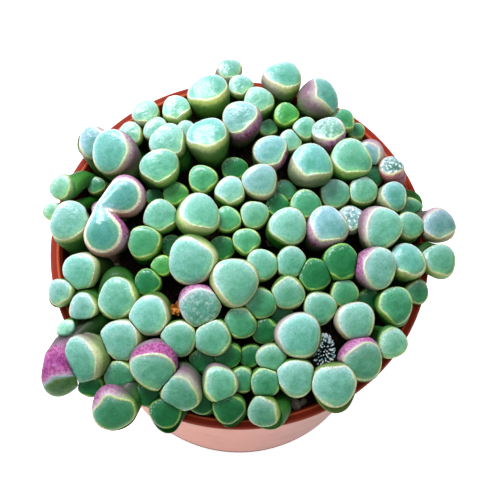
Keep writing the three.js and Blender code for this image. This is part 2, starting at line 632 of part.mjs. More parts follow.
function guestPart(name, solid, color) {
  const { min, max } = solid.boundingBox();
  const middle = min.map((low, index) => (low + max[index]) / 2);
  const crown = { name, color, x: middle[0], y: middle[1], ground: min[2] + GUEST_DEPTH };
  const swell = 1 + 2 * CLEARANCE / (max[0] - min[0]);
  const room = () => solid.hull().translate(middle.map((x) => -x)).scale(swell).translate(middle);
  return { crown, solid, size: 0, room };
}

const LEAF_GREENS = [0x6fbf93, 0x7cc9a4, 0x5fae7e, 0x8fd0b4, 0x66b58d];
const guests = [
  guestPart('dried_floret', makeFloret(), 0xb8732a),
  guestPart('spiky_cushion', makeCushion(), 0x8fb0ae),
];
const parts = [...crowns.flatMap(rosetteParts), ...guests];
giveWay(parts, makePotRoom());
const holes = [];
[...crowns, ...guests.map((guest) => guest.crown)].forEach((crown, index) => {
  const solids = parts.filter((part) => part.crown === crown).map((part) => part.solid);
  const plantSolid = solids.reduce((sum, solid) => sum.add(solid)).simplify(0.1);
  holes.push(soilHole(crown, plantSolid, crown.color ? GUEST_DEPTH : CROWN_DEPTH));
  addMesh(crown.name, plantSolid, crown.color ?? LEAF_GREENS[index % LEAF_GREENS.length], 0.45);
});
addMesh('soil', makeSoil(holes), 0x1d1612, 0.95);
addMesh('pot', makePot(), 0xb4432f, 0.4);

export default plant;
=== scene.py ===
# %% [markdown]
# # A pot of baby toes
# Baby toes (Fenestraria) is a clump of club-shaped leaves. Each ends in a clear "window", which lets
# light down into the leaf. This lesson dresses the packed solids: the pot, its soil, the rosettes of
# leaves, and two small guests among them, a dried flower and a bristly cushion.

# %% Load the frame
import math

import bpy
import numpy as np
from mathutils import Euler, Matrix, Vector, noise


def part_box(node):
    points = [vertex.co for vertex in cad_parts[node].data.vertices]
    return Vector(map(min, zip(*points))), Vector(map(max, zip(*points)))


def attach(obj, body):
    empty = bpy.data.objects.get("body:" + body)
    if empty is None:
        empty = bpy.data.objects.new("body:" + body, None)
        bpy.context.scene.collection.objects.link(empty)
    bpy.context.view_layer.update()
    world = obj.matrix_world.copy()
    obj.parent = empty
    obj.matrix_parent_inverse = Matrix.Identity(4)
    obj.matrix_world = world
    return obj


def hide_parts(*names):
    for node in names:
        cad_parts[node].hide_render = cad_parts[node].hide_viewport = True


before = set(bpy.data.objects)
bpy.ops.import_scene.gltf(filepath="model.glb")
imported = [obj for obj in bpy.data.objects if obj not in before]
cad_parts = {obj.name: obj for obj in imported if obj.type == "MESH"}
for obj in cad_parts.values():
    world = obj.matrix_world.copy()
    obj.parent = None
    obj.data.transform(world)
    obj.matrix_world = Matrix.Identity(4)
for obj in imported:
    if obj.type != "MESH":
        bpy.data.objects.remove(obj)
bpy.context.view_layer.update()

MM = 0.001

# %% [markdown]
# ## The camera first
# The leaves were placed along lines of sight, so the camera comes before them. It looks down at
# about 67 degrees, from 300 mm, a little rolled, like a phone held over a table. The focal length is
# counted in points of a picture 500 wide, and the lens follows from it.

# %% Camera
VIEW_ELEVATION = math.radians(66.6)
VIEW_ROLL = math.radians(1.74)
VIEW_DISTANCE = 300.0
VIEW_FOCAL = 1086.0
PICTURE = 500.0
SENSOR_WIDTH = 36.0
POT_HEIGHT = 75.0
VIEW_TARGET = np.array([2.8, -2.0, POT_HEIGHT])

to_view = np.array([0.0, -math.cos(VIEW_ELEVATION), math.sin(VIEW_ELEVATION)])
view_right = np.array(Matrix.Rotation(VIEW_ROLL, 3, Vector(to_view)) @ Vector((1, 0, 0)))
view_up = np.cross(to_view, view_right)
view_point = VIEW_TARGET + VIEW_DISTANCE * to_view

bpy.ops.object.select_all(action="DESELECT")
bpy.ops.object.camera_add(location=Vector(view_point) * MM)
camera = bpy.context.object
camera.name = "photo_camera"
camera.rotation_euler = Matrix(np.array([view_right, view_up, to_view]).T.tolist()).to_euler()
camera.data.sensor_width = SENSOR_WIDTH
camera.data.lens = SENSOR_WIDTH * VIEW_FOCAL / PICTURE
camera.data.clip_start = 0.01
bpy.context.scene.camera = camera
print("lens in mm", round(camera.data.lens, 1))

# %% [markdown]
# ## The sizes
# These are the solids' own sizes in millimetres, so that each dressed piece sits where its solid is.
# The wall and the soil's top are short formulas, because the leaves have to keep clear of both.

# %% Sizes of pot and soil
LIP_RADIUS = 52.5
LIP_WIDTH = 2.3
LIP_THICKNESS = 1.7
BASE_RADIUS = 41.7
WALL = 1.2
FLOOR = 1.6
DRAIN_RADIUS = 4.0
DRAIN_RING = 26.0
DRAIN_COUNT = 8
SOIL_DROP = 9.0
SOIL_DOME = 1.5
CLEARANCE = 0.3
LIP_INNER = LIP_RADIUS - LIP_WIDTH
UNDER_LIP = POT_HEIGHT - LIP_THICKNESS
WALL_TOP_RADIUS = LIP_INNER + 0.1


def outward(point):
    """How far points are from the pot's axis."""
    return np.hypot(point[..., 0], point[..., 1])


def soil_top(radius):
    """Height of the soil, a shallow dome, this far from the axis."""
    return POT_HEIGHT - SOIL_DROP + SOIL_DOME * (1 - (radius / LIP_RADIUS) ** 2)


def wall_outer(height):
    """Outer radius of the tapered wall."""
    return BASE_RADIUS + (WALL_TOP_RADIUS - BASE_RADIUS) * np.asarray(height) / UNDER_LIP


def wall_inner(height):
    """Inner radius of the wall, and of the lip above it."""
    height = np.asarray(height, float)
    under = wall_outer(UNDER_LIP) - WALL
    at_lip = under + (LIP_INNER - under) * (height - UNDER_LIP) / LIP_THICKNESS
    return np.where(height > UNDER_LIP, at_lip, wall_outer(height) - WALL)


print("pot", 2 * LIP_RADIUS, "mm across the lip,", POT_HEIGHT, "mm high")

# %% [markdown]
# ## Where the leaves stand
# Each row is one leaf: across and down in the picture, the head's width in millimetres, how far it
# stands over its neighbours, and its lean if that isn't the usual one. The heads lie on a low dome,
# and a head at the pot's edge rides over the lip. The heart-shaped leaf is two heads and a bridge.

# %% The leaves
LEAVES = [
    # Back edge and the rows behind the middle
    [229.6, 71.7, 7.0, -1], [240.8, 87.7, 6.8, 0], [209.7, 97, 11.4, 2, -0.12, 0.40],
    [282, 82, 10.8, 2, 0.05, 0.35], [317, 100, 11.2, 2, 0.40, 0.35], [146.7, 114.8, 7.5, 0],
    [177, 111, 8.0, 0], [258.4, 102.8, 8.2, 0], [157, 131, 7.0, -1], [131, 135.5, 7.0, -2],
    [186.5, 132.3, 6.0, -2], [208.9, 140.3, 11.2, 2, -0.14, 0.40], [241.8, 121.2, 10.4, 2, -0.1, 0.25],
    [285.9, 116, 6.8, -1], [305, 130, 6.6, -1], [268.3, 128.9, 5.0, -6], [289.7, 142.3, 6.5, -3],
    [342, 122, 6.8, -1], [355.5, 132, 5.0, -5], [329, 134.5, 9.0, 1, 0, 0.3],
    [270.6, 153.3, 9.2, 1], [310.5, 167, 11.4, 3, 0, 0.28], [350, 160.5, 11.0, 2, 0.1, 0.12],
    [370, 155, 8.0, -3], [371, 175, 7.0, -6], [390.5, 170, 6.8, 0],
    # Left side
    [95.7, 143.5, 9.0, 0], [115.6, 153, 12.0, 2, -0.3, 0.1], [169, 143.5, 10.0, -1],
    [160.8, 168.5, 10.2, 2], [203, 180, 7.6, -1], [234.6, 170.5, 7.0, -4], [230.3, 191.8, 7.8, -1],
    [259.8, 182.5, 9.4, 0], [285, 191.7, 6.0, -6], [175.7, 194.5, 6.6, -3], [154.6, 197, 5.0, -7],
    [63.8, 188, 7.0, 0, -0.4, 0], [97, 186.5, 5.0, -7], [53, 212, 5.0, -3],
    [71.7, 223.2, 11.0, 1, -0.17, 0.2], [161, 217.5, 9.0, -1], [197.5, 216, 11.0, 2, 0.14, 0.25],
    [228, 220.2, 6.8, -2], [254.5, 215.5, 7.4, -2], [144.9, 243, 8.8, -1], [172.8, 246.3, 6.0, -6],
    [222.7, 248.5, 6.5, -4], [246.4, 241.9, 7.0, -2], [162.3, 266.2, 5.5, -3],
    [193.7, 260, 12.4, 3, -0.2, -0.08], [82.9, 271, 9.6, 0, -0.35, 0], [148, 283, 7.0, -3],
    [62.2, 292.5, 7.0, 0, -0.3, 0.1], [85, 308.6, 7.8, 0], [120, 299.2, 10.6, 1],
    [150.5, 316, 10.2, 1], [94, 328, 6.0, -6], [71, 333.6, 7.2, 0, -0.25, 0.1],
    [122.3, 339.5, 10.4, 1], [87, 358.2, 12.0, 2, -0.33, -0.08], [60.6, 376, 9.6, -1, -0.1, -0.45],
    [120.8, 375, 8.4, -1], [90.9, 384, 6.5, -5], [114, 407, 10.8, 0, -0.12, -0.2],
    [154.6, 366, 11.6, 3, 0, -0.1], [149, 392.3, 7.4, -3], [166.3, 411, 8.0, -1],
    [181.5, 389, 10.4, 1, 0, -0.2], [201, 400, 7.0, -4],
    # Middle and front
    [234.1, 282.2, 12.0, 3, 0.07, 0.07], [199.8, 305, 10.4, 2, 0, -0.1], [179.6, 337.5, 9.0, 0],
    [213.2, 337.5, 9.2, 0], [240, 322.6, 8.2, -1], [203, 360.3, 7.0, -4], [228, 355, 7.0, -3],
    [250, 355.3, 6.0, -4], [219.8, 383.8, 8.8, 1], [241, 379.5, 6.6, -2], [228.5, 406.5, 8.0, -1],
    [262, 265.4, 8.2, -1], [259.5, 303.5, 8.2, -1], [281, 314.8, 6.0, -6], [265.2, 330.5, 6.8, -3],
    [298, 335.2, 11.2, 2], [271.8, 357.8, 7.6, -1], [295.3, 376.8, 9.6, 0], [333.5, 383.8, 11.0, 2],
    [265.6, 382.2, 7.8, -1], [264.4, 410, 8.0, -1, -0.15, -0.3],
    # Right side
    [277.6, 206.6, 6.6, -4], [305, 205.8, 8.2, -1], [287.8, 226.9, 9.8, 0], [326.5, 228, 10.6, 1],
    [350.5, 220.8, 7.6, -2], [334.7, 194.8, 8.0, -2], [362.3, 191.8, 7.8, -1], [391.5, 197.7, 8.0, 0],
    [410, 209.5, 6.4, -4], [408.5, 226.5, 7.4, 0], [379, 228, 11.2, 2, 0.2, 0.05],
    [437, 226, 9.2, 0, 0.3, 0.05], [291, 263, 8.2, -1], [314.5, 275, 8.6, -1], [340.1, 263, 9.8, 0],
    [374.5, 268, 10.8, 2, 0.17, 0], [406.5, 263.5, 9.6, 1, 0.04, 0.35], [438, 262, 9.0, 0, 0.15, 0.3],
    [415.8, 291.5, 6.4, -5], [287.5, 293, 8.6, -1], [343.3, 293, 7.4, -2], [367.2, 299.4, 6.6, -5],
    [393.5, 305, 9.4, 0], [319.5, 308.2, 8.4, -1], [354.4, 321.7, 10.0, 1],
    [390.3, 342.5, 8.0, 0, 0.3, -0.05], [360, 358.4, 10.8, 1, 0.2, -0.12],
]
HEART_LOBES = [
    [126, 195.5, 11.4, 3, -0.1, 0.1], [105.5, 233.5, 12.2, 3, -0.15, 0], [98.5, 210.5, 6.4, 3, -0.15, 0.05],
]
FLORET = {"across": 176, "down": 310.5, "lift": 8.5, "width": 3.8, "stalk": 0.55}
CUSHION = {"across": 326, "down": 344, "lift": -2, "width": 3.8, "length": 8, "spike": 1.6}
print(len(LEAVES), "leaves and a heart of", len(HEART_LOBES), "parts")

# %% [markdown]
# ## From the picture to the dome
# A place in the picture gives a line of sight. The head sits where that line meets the dome, which
# takes a few steps to find, because the dome's height depends on where the head is. A head over the
# lip has to ride on it, as a ball would.

# %% Lines of sight
DRAW_SPAN = 2 ** 32
seed = 20


def draw():
    """A small fixed-seed generator, the same as the solids' own, so that every run draws the same."""
    global seed
    seed = (seed * 1664525 + 1013904223) % DRAW_SPAN
    return seed / DRAW_SPAN


def unit(vector):
    return vector / np.linalg.norm(vector)


def sight_point(across, down, height):
    """The point at a given height on the line of sight through a picture place."""
    ray = -VIEW_FOCAL * to_view + (across - PICTURE / 2) * view_right + (PICTURE / 2 - down) * view_up
    return view_point + ray * (height - view_point[2]) / ray[2]


def lift_over_lip(point, radius):
    """How far over the lip's top a ball must ride so that it only touches the lip."""
    inside = np.maximum(0, LIP_INNER - outward(point))
    return np.where(inside < radius, np.sqrt(np.maximum(0, radius ** 2 - inside ** 2)), -np.inf)


middle = sight_point(PICTURE / 2, PICTURE / 2, POT_HEIGHT)
print("the picture's middle, at the height of the lip", middle.round(1))

# %% [markdown]
# ## Heads
# Leaves splay out from the middle of the clump, and more so at the back, so a leaf's lean comes from
# its place unless its row says otherwise. The shaft points to where its root would be in the soil.

# %% Heads
LIFT_MIDDLE = 13.0
LIFT_EDGE = 6.0
CLUMP_RADIUS = 50.0
HEAD_SWELL = 1.13
LEAF_GAP = 0.5
SIGHT_PASSES = 5
LEAN_MIDDLE = (245, 255)
LEAN_SPAN = (190, 175)
LEAN_OUT = 0.30
LEAN_BACK = 0.10
FLATTEST_SHAFT = 0.7
HEART_ROOT_PULL = 0.8


def make_leaf(row):
    """A leaf's head, the way it points, and where its shaft would meet the soil."""
    across, down, width, rise = row[:4]
    radius = HEAD_SWELL * width / 2
    head = sight_point(across, down, POT_HEIGHT)
    for _ in range(SIGHT_PASSES):
        share = (outward(head) / CLUMP_RADIUS) ** 2
        lift = LIFT_MIDDLE + (LIFT_EDGE - LIFT_MIDDLE) * share + rise
        head = sight_point(across, down, POT_HEIGHT + max(lift, lift_over_lip(head, radius + LEAF_GAP)))
    lean_right = row[4] if len(row) > 4 else LEAN_OUT * (across - LEAN_MIDDLE[0]) / LEAN_SPAN[0]
    lean_up = row[5] if len(row) > 5 else LEAN_BACK + LEAN_OUT * (LEAN_MIDDLE[1] - down) / LEAN_SPAN[1]
    axis = unit(view_point - head) * math.sqrt(1 - lean_right ** 2 - lean_up ** 2)
    axis = unit(axis + lean_right * view_right + lean_up * view_up)
    root = head - axis * (head[2] - soil_top(outward(head))) / max(axis[2], FLATTEST_SHAFT)
    return {"row": (across, down), "radius": radius, "head": head, "axis": axis, "root": root,
            "lean": np.array([lean_right, lean_up]), "corner": draw() * 2 * math.pi,
            "heart": False, "bridge": False}


leaves = [make_leaf(row) for row in LEAVES]
heart = [make_leaf(row) for row in HEART_LOBES]
heart_root = (heart[0]["root"] + heart[1]["root"]) / 2
for index, lobe in enumerate(heart):
    root = lobe["root"] + HEART_ROOT_PULL * (heart_root - lobe["root"])
    lobe.update(heart=True, bridge=index == 2, root=root)
leaves += heart
print("widest head", round(2 * max(leaf["radius"] for leaf in leaves), 1), "mm")

# %% [markdown]
# ## Rosettes
# A clump is many rosettes that each made a few pairs of leaves. Crowns start on a sunflower spiral
# and settle in the middle of the leaves nearest to them, and that gives every leaf its rosette.

# %% Crowns
CROWN_COUNT = 44
CROWN_FROM_WALL = 7.0
CROWN_SPACING = 10.0
CROWN_RELAXATIONS = 12
CROWN_PUSHES = 10
GOLDEN_TURN = math.pi * (3 - math.sqrt(5))


def space_crowns(crowns, limit):
    """Pushes crowns apart that stand too close, and keeps them off the wall."""
    for _ in range(CROWN_PUSHES):
        for index, crown in enumerate(crowns):
            for other in crowns[index + 1:]:
                gap = crown["at"] - other["at"]
                distance = np.hypot(*gap)
                push = max(0, CROWN_SPACING - distance) / 2 / distance
                crown["at"] = crown["at"] + gap * push
                other["at"] = other["at"] - gap * push
        for crown in crowns:
            crown["at"] = crown["at"] * min(1, limit / np.hypot(*crown["at"]))


def settle_crowns():
    """Gives each leaf to its nearest crown, and moves each crown to the middle of its leaves."""
    limit = float(wall_inner(POT_HEIGHT - SOIL_DROP)) - CROWN_FROM_WALL
    crowns = []
    for i in range(CROWN_COUNT):
        radius = limit * math.sqrt((i + 0.5) / CROWN_COUNT)
        angle = i * GOLDEN_TURN
        crowns.append({"at": radius * np.array([math.cos(angle), math.sin(angle)]), "leaves": []})
    for _ in range(CROWN_RELAXATIONS):
        for crown in crowns:
            crown["leaves"] = []
        for leaf in leaves:
            distances = [np.hypot(*(crown["at"] - leaf["root"][:2])) for crown in crowns]
            crowns[int(np.argmin(distances))]["leaves"].append(leaf)
        crowns = [crown for crown in crowns if crown["leaves"]]
        for crown in crowns:
            crown["at"] = np.mean([leaf["root"][:2] for leaf in crown["leaves"]], axis=0)
        space_crowns(crowns, limit)
    return crowns


crowns = settle_crowns()
for index, crown in enumerate(crowns):
    crown["name"] = f"rosette_{index + 1:02d}"
    crown["ground"] = float(soil_top(np.hypot(*crown["at"])))
print(len(crowns), "rosettes")

# %% [markdown]
# ## Middle lines
# A leaf follows a line from its crown to its head. The line leaves the crown upright, arrives along
# the head's axis, and bends round the lip where the head hangs over it.

# %% Lines from crown to head
LINE_STEPS = 10
LINE_PULL = 0.38
SHAFT_SHARE = 0.56
SWELL_POWER = 1.6
CROWN_DEPTH = 4.0
CROWN_SPREAD = 3.0
OVER_LIP_SHARE = 0.4
BEND_INSIDE = 3
BEND_RISE = 0.75
UPRIGHT = np.array([0.0, 0.0, 1.0])
shares = np.arange(LINE_STEPS + 1) / LINE_STEPS


def draw_middle_line(leaf, crown):
    """A smooth curve from the crown to the head, and the shaft's radius along it."""
    side = np.append(leaf["root"][:2] - crown["at"], 0)
    side *= min(1, CROWN_SPREAD / max(np.linalg.norm(side), 1e-9))
    foot = np.append(crown["at"], crown["ground"] - CROWN_DEPTH + 1) + side
    head = leaf["head"]
    if outward(head) < LIP_INNER - leaf["radius"] * OVER_LIP_SHARE:
        pull = np.linalg.norm(foot - head) * LINE_PULL
        handles = [foot + UPRIGHT * pull, head - leaf["axis"] * pull]
    else:
        bend = head * (LIP_INNER - BEND_INSIDE) / outward(head)
        bend[2] = POT_HEIGHT + leaf["radius"] * BEND_RISE
        handles = [np.array([foot[0], foot[1], bend[2]]), bend]
    t = shares[:, None]
    leaf["home"] = ((1 - t) ** 3 * foot + 3 * (1 - t) ** 2 * t * handles[0]
                    + 3 * (1 - t) * t ** 2 * handles[1] + t ** 3 * head)
    leaf["radii"] = leaf["radius"] * (SHAFT_SHARE + (1 - SHAFT_SHARE) * shares ** SWELL_POWER)


for crown in crowns:
    for leaf in crown["leaves"]:
        draw_middle_line(leaf, crown)
print("first leaf's line starts at", crowns[0]["leaves"][0]["home"][0].round(1))

# %% [markdown]
# ## The two guests
# The dried flower and the cushion need room too, so each gets an upright line that the leaves ease
# off. The cushion is longer than wide, so it gets one line at each end.

# %% Guests among the leaves
GUEST_DEPTH = 3.0
GUEST_TOP_STEPS = 3
STALK_ROOM = 0.8
FLOWER_ROOM = 1
CUSHION_ENDS = (-7, 7)


def make_guest(across, down, lift, width, top_width):
    """A small thing among the leaves: its line runs straight up from the soil and stays there."""
    head = sight_point(across, down, POT_HEIGHT + lift)
    foot = np.array([head[0], head[1], soil_top(outward(head)) - GUEST_DEPTH])
    at_top = np.arange(LINE_STEPS + 1) > LINE_STEPS - GUEST_TOP_STEPS
    return {"fixed": True, "radius": top_width / 2, "head": head, "foot": foot, "axis": UPRIGHT,
            "home": foot + (head - foot) * shares[:, None], "heart": False, "bridge": False,
            "radii": np.where(at_top, top_width, width) / 2}


floret = make_guest(FLORET["across"], FLORET["down"], FLORET["lift"],
                    FLORET["stalk"] * 2 + STALK_ROOM, FLORET["width"] + FLOWER_ROOM)
cushion_width = CUSHION["width"] + 2 * CUSHION["spike"]
cushion_ends = [make_guest(CUSHION["across"], CUSHION["down"] + end, CUSHION["lift"],
                           cushion_width, cushion_width) for end in CUSHION_ENDS]
growth = leaves + [floret] + cushion_ends
print("middle lines", len(growth))

# %% [markdown]
# ## Which leaves can touch
# All lines are kept as rows of numbers, so that many can be moved at once. Only leaves whose heads
# are near each other can crowd each other, and the middle of a line gives way most.

# %% Lines side by side
FAR_APART = 40
GIVE_POWER = 0.7
homes = np.array([plant["home"] for plant in growth])
radii = np.array([plant["radii"] for plant in growth])
heads = np.array([plant["head"] for plant in growth])
moving = np.array([not plant.get("fixed") for plant in growth])
shifts = np.zeros_like(homes)
points = homes.copy()
give = np.sin(np.pi * shares) ** GIVE_POWER
first, second = np.triu_indices(len(growth), 1)
close = np.linalg.norm(heads[first] - heads[second], axis=1) <= FAR_APART
first, second = first[close], second[close]
print("pairs of neighbours", len(first))

# %% [markdown]
# ## Room for every shaft
# Growing leaves push each other aside. Each pass pushes crowded lines apart a little, smooths the
# shifts, and keeps them inside the wall and over the lip. Heads and crowns stay where they are.

# %% Ease the lines apart
EASE_PASSES = 90
EASE_SHARE = 0.2
SMOOTHING = 0.4
STEP_BELOW_HEAD = 0.4


def push_lines(plants, push):
    """Adds to the shifts of some plants' lines; guests stay, and ends hardly give way."""
    whole = np.pad(push, ((0, 0), (1, 0), (0, 0)))
    np.add.at(shifts, plants, whole * (moving[plants, None] * give)[..., None])


def ease_pass():
    """Pushes every two lines apart where they are closer than their radii and a gap."""
    gap = points[first, 1:, None] - points[second, None, 1:]
    distance = np.linalg.norm(gap, axis=-1)
    wanted = radii[first, 1:, None] + radii[second, None, 1:] + LEAF_GAP
    push = gap * (EASE_SHARE * np.maximum(0, wanted - distance) / distance)[..., None]
    push_lines(first, push.sum(2))
    push_lines(second, -push.sum(1))


def settle_lines():
    """Smooths each line's shifts, keeps it inside the wall, and lifts it over the lip."""
    before = shifts.copy()
    for i in range(1, LINE_STEPS):
        shifts[:, i] += SMOOTHING * ((before[:, i - 1] + before[:, i + 1]) / 2 - shifts[:, i])
        point = homes[:, i] + shifts[:, i]
        radius = radii[:, i]
        inside = point[:, 2] < POT_HEIGHT + CLEARANCE
        room = wall_inner(point[:, 2]) - radius - LEAF_GAP
        inward = np.where(inside, np.minimum(1, room / outward(point)) - 1, 0)
        over = POT_HEIGHT + lift_over_lip(point, radius + LEAF_GAP) - point[:, 2]
        high = point[:, 2] - heads[:, 2] + (LINE_STEPS - i) * STEP_BELOW_HEAD
        shifts[:, i, :2] += point[:, :2] * inward[:, None]
        shifts[:, i, 2] += np.where(~inside & (over > 0), np.minimum(over, 1), 0) - np.maximum(high, 0)
        before[:, i] = shifts[:, i]
    shifts[~moving] = 0
    shifts[:, [0, -1]] = 0


for _ in range(EASE_PASSES):
    ease_pass()
    settle_lines()
    points = homes + shifts
for plant, line in zip(growth, points):
    plant["line"] = line
print("furthest ease", round(float(np.linalg.norm(shifts, axis=-1).max()), 1), "mm")

# %% [markdown]
# ## One leaf hangs free
# The leaf at the left front edge has nothing beside it, so it needn't arch away from its neighbours.
# Its own line goes most of the way back to the uneased one, while the room kept for it stays.

# %% The free leaf at the edge
FREE_LEAF = (71, 333.6)
FREE_SHARE = 0.8
FREE_STEPS = 4
line_array = np.array([plant["line"] for plant in growth])
free_leaf = min(leaves, key=lambda leaf: math.dist(leaf["row"], FREE_LEAF))
straighter = np.clip(np.arange(LINE_STEPS + 1) / FREE_STEPS, 0, 1)[:, None] * FREE_SHARE
eased = free_leaf["line"]
free_leaf["line"] = eased * (1 - straighter) + free_leaf["home"] * straighter
print("moved by up to", round(float(np.abs(free_leaf["line"] - eased).max()), 1), "mm")

# %% [markdown]
# ## Leaves that flatten against each other
# A point of a leaf's skin stays on its own side of the surface that lies equally many radii from its
# neighbour, so pressed leaves flatten instead of running through each other. That needs two
# questions answered: how many radii away is a neighbour, and is the pot in the way?

# %% How near the neighbours and the pot are
head_radii = np.array([plant["radius"] for plant in growth])


def radii_away(where, other):
    """How far points are from the middle lines of other plants, counted in their radii there."""
    start, end = line_array[other][:, :-1], line_array[other][:, 1:]
    span = end - start
    part = np.einsum("nkj,nkj->nk", where[:, None] - start, span) / np.einsum("nkj,nkj->nk", span, span)
    part = np.clip(part, 0, 1)
    away = np.linalg.norm(where[:, None] - start - span * part[..., None], axis=-1)
    thick = radii[other]
    return (away / (thick[:, :-1] * (1 - part) + thick[:, 1:] * part)).min(axis=1)


def in_pot(where, centre):
    """Which points lie in the pot's wall, or on the wrong side of it."""
    outside = outward(centre) > LIP_RADIUS
    blocked = np.where(outside, outward(where) < LIP_RADIUS + CLEARANCE,
                       outward(where) > wall_inner(where[:, 2]) - CLEARANCE)
    return (where[:, 2] < POT_HEIGHT + CLEARANCE) & blocked


print("plants that keep room for each other", len(growth))

# %% [markdown]
# ## Squeezing a leaf
# Where a neighbour or the pot is in the way, the skin is pulled in towards the leaf's own middle line,
# as far as it has to be. A high power joins the limits softly, so that no sharp crease is left.

# %% Squeeze
SQUEEZE_SHARPNESS = 9.0
NEIGHBOUR_REACH = 3.5
LEAST_SHARE = 0.05
HALVINGS = 9


def hold_back(count, free):
    """The largest share of each offset that is still free, found by halving."""
    low = np.full(count, LEAST_SHARE)
    high = np.ones(count)
    for _ in range(HALVINGS):
        middle = (low + high) / 2
        good = free(middle)
        low, high = np.where(good, middle, low), np.where(good, high, middle)
    return low


def squeeze(index, centre, offset, radius):
    """Pulls a leaf's skin in where its neighbours or the pot are in its way."""
    leaf = growth[index]
    size = np.linalg.norm(offset, axis=1) / radius
    hold = np.ones(len(offset))
    for other, plant in enumerate(growth):
        joined = leaf["heart"] and plant["heart"] and (leaf["bridge"] or plant["bridge"])
        reach = NEIGHBOUR_REACH * (head_radii[other] + head_radii[index])
        if other == index or joined or np.linalg.norm(plant["head"] - leaf["head"]) >= reach:
            continue
        gap = LEAF_GAP / (radius + plant["radius"])
        others = np.full(len(offset), other)
        tight = np.nonzero(size + gap > radii_away(centre + offset, others))[0]
        if len(tight):
            low = hold_back(len(tight), lambda share: share * size[tight] + gap[tight]
                            <= radii_away(centre[tight] + offset[tight] * share[:, None], others[tight]))
            hold[tight] += low ** -SQUEEZE_SHARPNESS - 1
    tight = np.nonzero(in_pot(centre + offset, centre))[0]
    if len(tight):
        low = hold_back(len(tight), lambda share: ~in_pot(
            centre[tight] + offset[tight] * share[:, None], centre[tight]))
        hold[tight] += low ** -SQUEEZE_SHARPNESS - 1
    return offset * (hold ** (-1 / SQUEEZE_SHARPNESS))[:, None]


print("furthest that a neighbour can be felt, mm", round(float(2 * NEIGHBOUR_REACH * head_radii.max()), 1))

# %% [markdown]
# ## One leaf, modelled once
# The leaf is a club: a slender shaft that swells to a head with a gently domed window, edged by a fine
# raised rim. It could be turned on a lathe, but extruding rings from a circle is how a club is made
# by hand, and it leaves rings exactly where the rim needs them. Every leaf is a bent copy of it.
# Levels count 0 to 1 up the shaft, 1 to 2 up the head's flank and 2 to 3 over the window.

# %% The master leaf
SIDES = 36
CLUB_SHAFT = 6.0
DOME_TOP = 0.78
DOME_POWER = 2.5
RIM_WIDTH = 0.88
SHAFT_LEVELS = [0, 0.16, 0.3, 0.42, 0.53, 0.63, 0.72, 0.8, 0.87, 0.94, 1]
FLANK_LEVELS = [0.22, 0.44, 0.64, 0.8, 0.9, 0.96, 1]
WINDOW_LEVELS = [1.03, 1.07, 1.13, 1.22, 1.34, 1.48, 1.63, 1.8]
TOP_LEVEL = 3.0


def dome(rim_width, ring):
    """Width and height of the head in radii; ring runs 0 to 1 up the flank and 1 to 2 over the window."""
    rim_angle = np.arccos(rim_width ** (DOME_POWER / 2))
    angle = np.where(ring < 1, rim_angle * ring, rim_angle + (math.pi / 2 - rim_angle) * (ring - 1))
    return np.cos(angle) ** (2 / DOME_POWER), DOME_TOP * np.sin(angle) ** (2 / DOME_POWER)


levels = [(share, SHAFT_SHARE + (1 - SHAFT_SHARE) * share ** SWELL_POWER, CLUB_SHAFT * share)
          for share in SHAFT_LEVELS]
for ring in FLANK_LEVELS + WINDOW_LEVELS:
    width, above = dome(RIM_WIDTH, np.float64(ring))
    levels.append((1 + ring, float(width), CLUB_SHAFT + float(above)))

bpy.ops.object.select_all(action="DESELECT")
bpy.ops.mesh.primitive_circle_add(vertices=SIDES, radius=levels[0][1], fill_type="NOTHING")
master = bpy.context.object
master.name = "master_leaf"
bpy.ops.object.mode_set(mode="EDIT")
bpy.ops.mesh.select_all(action="SELECT")
for (_, width, height), (_, next_width, next_height) in zip(levels, levels[1:]):
    bpy.ops.mesh.extrude_region_move(TRANSFORM_OT_translate={"value": (0, 0, next_height - height)})
    bpy.ops.transform.resize(value=(next_width / width, next_width / width, 1))
bpy.ops.mesh.extrude_region_move(TRANSFORM_OT_translate={"value": (0, 0, CLUB_SHAFT + DOME_TOP - height)})
bpy.ops.mesh.merge(type="CENTER")
bpy.ops.mesh.select_all(action="DESELECT")
bpy.ops.mesh.select_non_manifold()
bpy.ops.mesh.edge_face_add()
bpy.ops.mesh.poke()
bpy.ops.mesh.select_all(action="SELECT")
bpy.ops.mesh.normals_make_consistent(inside=False)
bpy.ops.mesh.faces_shade_smooth()
bpy.ops.object.mode_set(mode="OBJECT")
print("master leaf", len(master.data.polygons), "faces")

# %% [markdown]
# ## Reading and moving corners
# Bending a club by hand a hundred times is dull work, so the corners are read as rows of numbers,
# moved by a rule and written back. Each corner remembers its level and its place round the club.

# %% Corners of the club


def corners(obj):
    """A mesh's corners as rows of numbers, in the mesh's own unit."""
    flat = np.empty(3 * len(obj.data.vertices))
    obj.data.vertices.foreach_get("co", flat)
    return flat.reshape(-1, 3)


def reshape(obj, where):
    """Moves all corners of a mesh to new places, given in millimetres."""
    obj.data.vertices.foreach_set("co", (np.asarray(where) * MM).ravel())
    obj.data.update()


def copy_to(obj, where):
    """A copy with a mesh of its own, its corners at new places in millimetres."""
    copy = obj.copy()
    copy.data = obj.data.copy()
    bpy.context.collection.objects.link(copy)
    reshape(copy, where)
    return copy


def pick(obj):
    """Selects one object alone and makes it the active one."""
    bpy.ops.object.select_all(action="DESELECT")
    obj.select_set(True)
    bpy.context.view_layer.objects.active = obj


club = corners(master)
heights = np.array([height for _, _, height in levels] + [CLUB_SHAFT + DOME_TOP])
level_values = np.array([value for value, _, _ in levels] + [TOP_LEVEL])
club_level = level_values[np.abs(club[:, 2, None] - heights).argmin(axis=1)]
club_angle = np.arctan2(club[:, 1], club[:, 0])
club_spoke = np.hypot(club[:, 0], club[:, 1]) > 1e-6
club_share = np.minimum(club_level, 1)
club_head = np.clip(club_level - 1, 0, 2)
print("club", len(club), "corners on", len(levels) + 1, "levels")

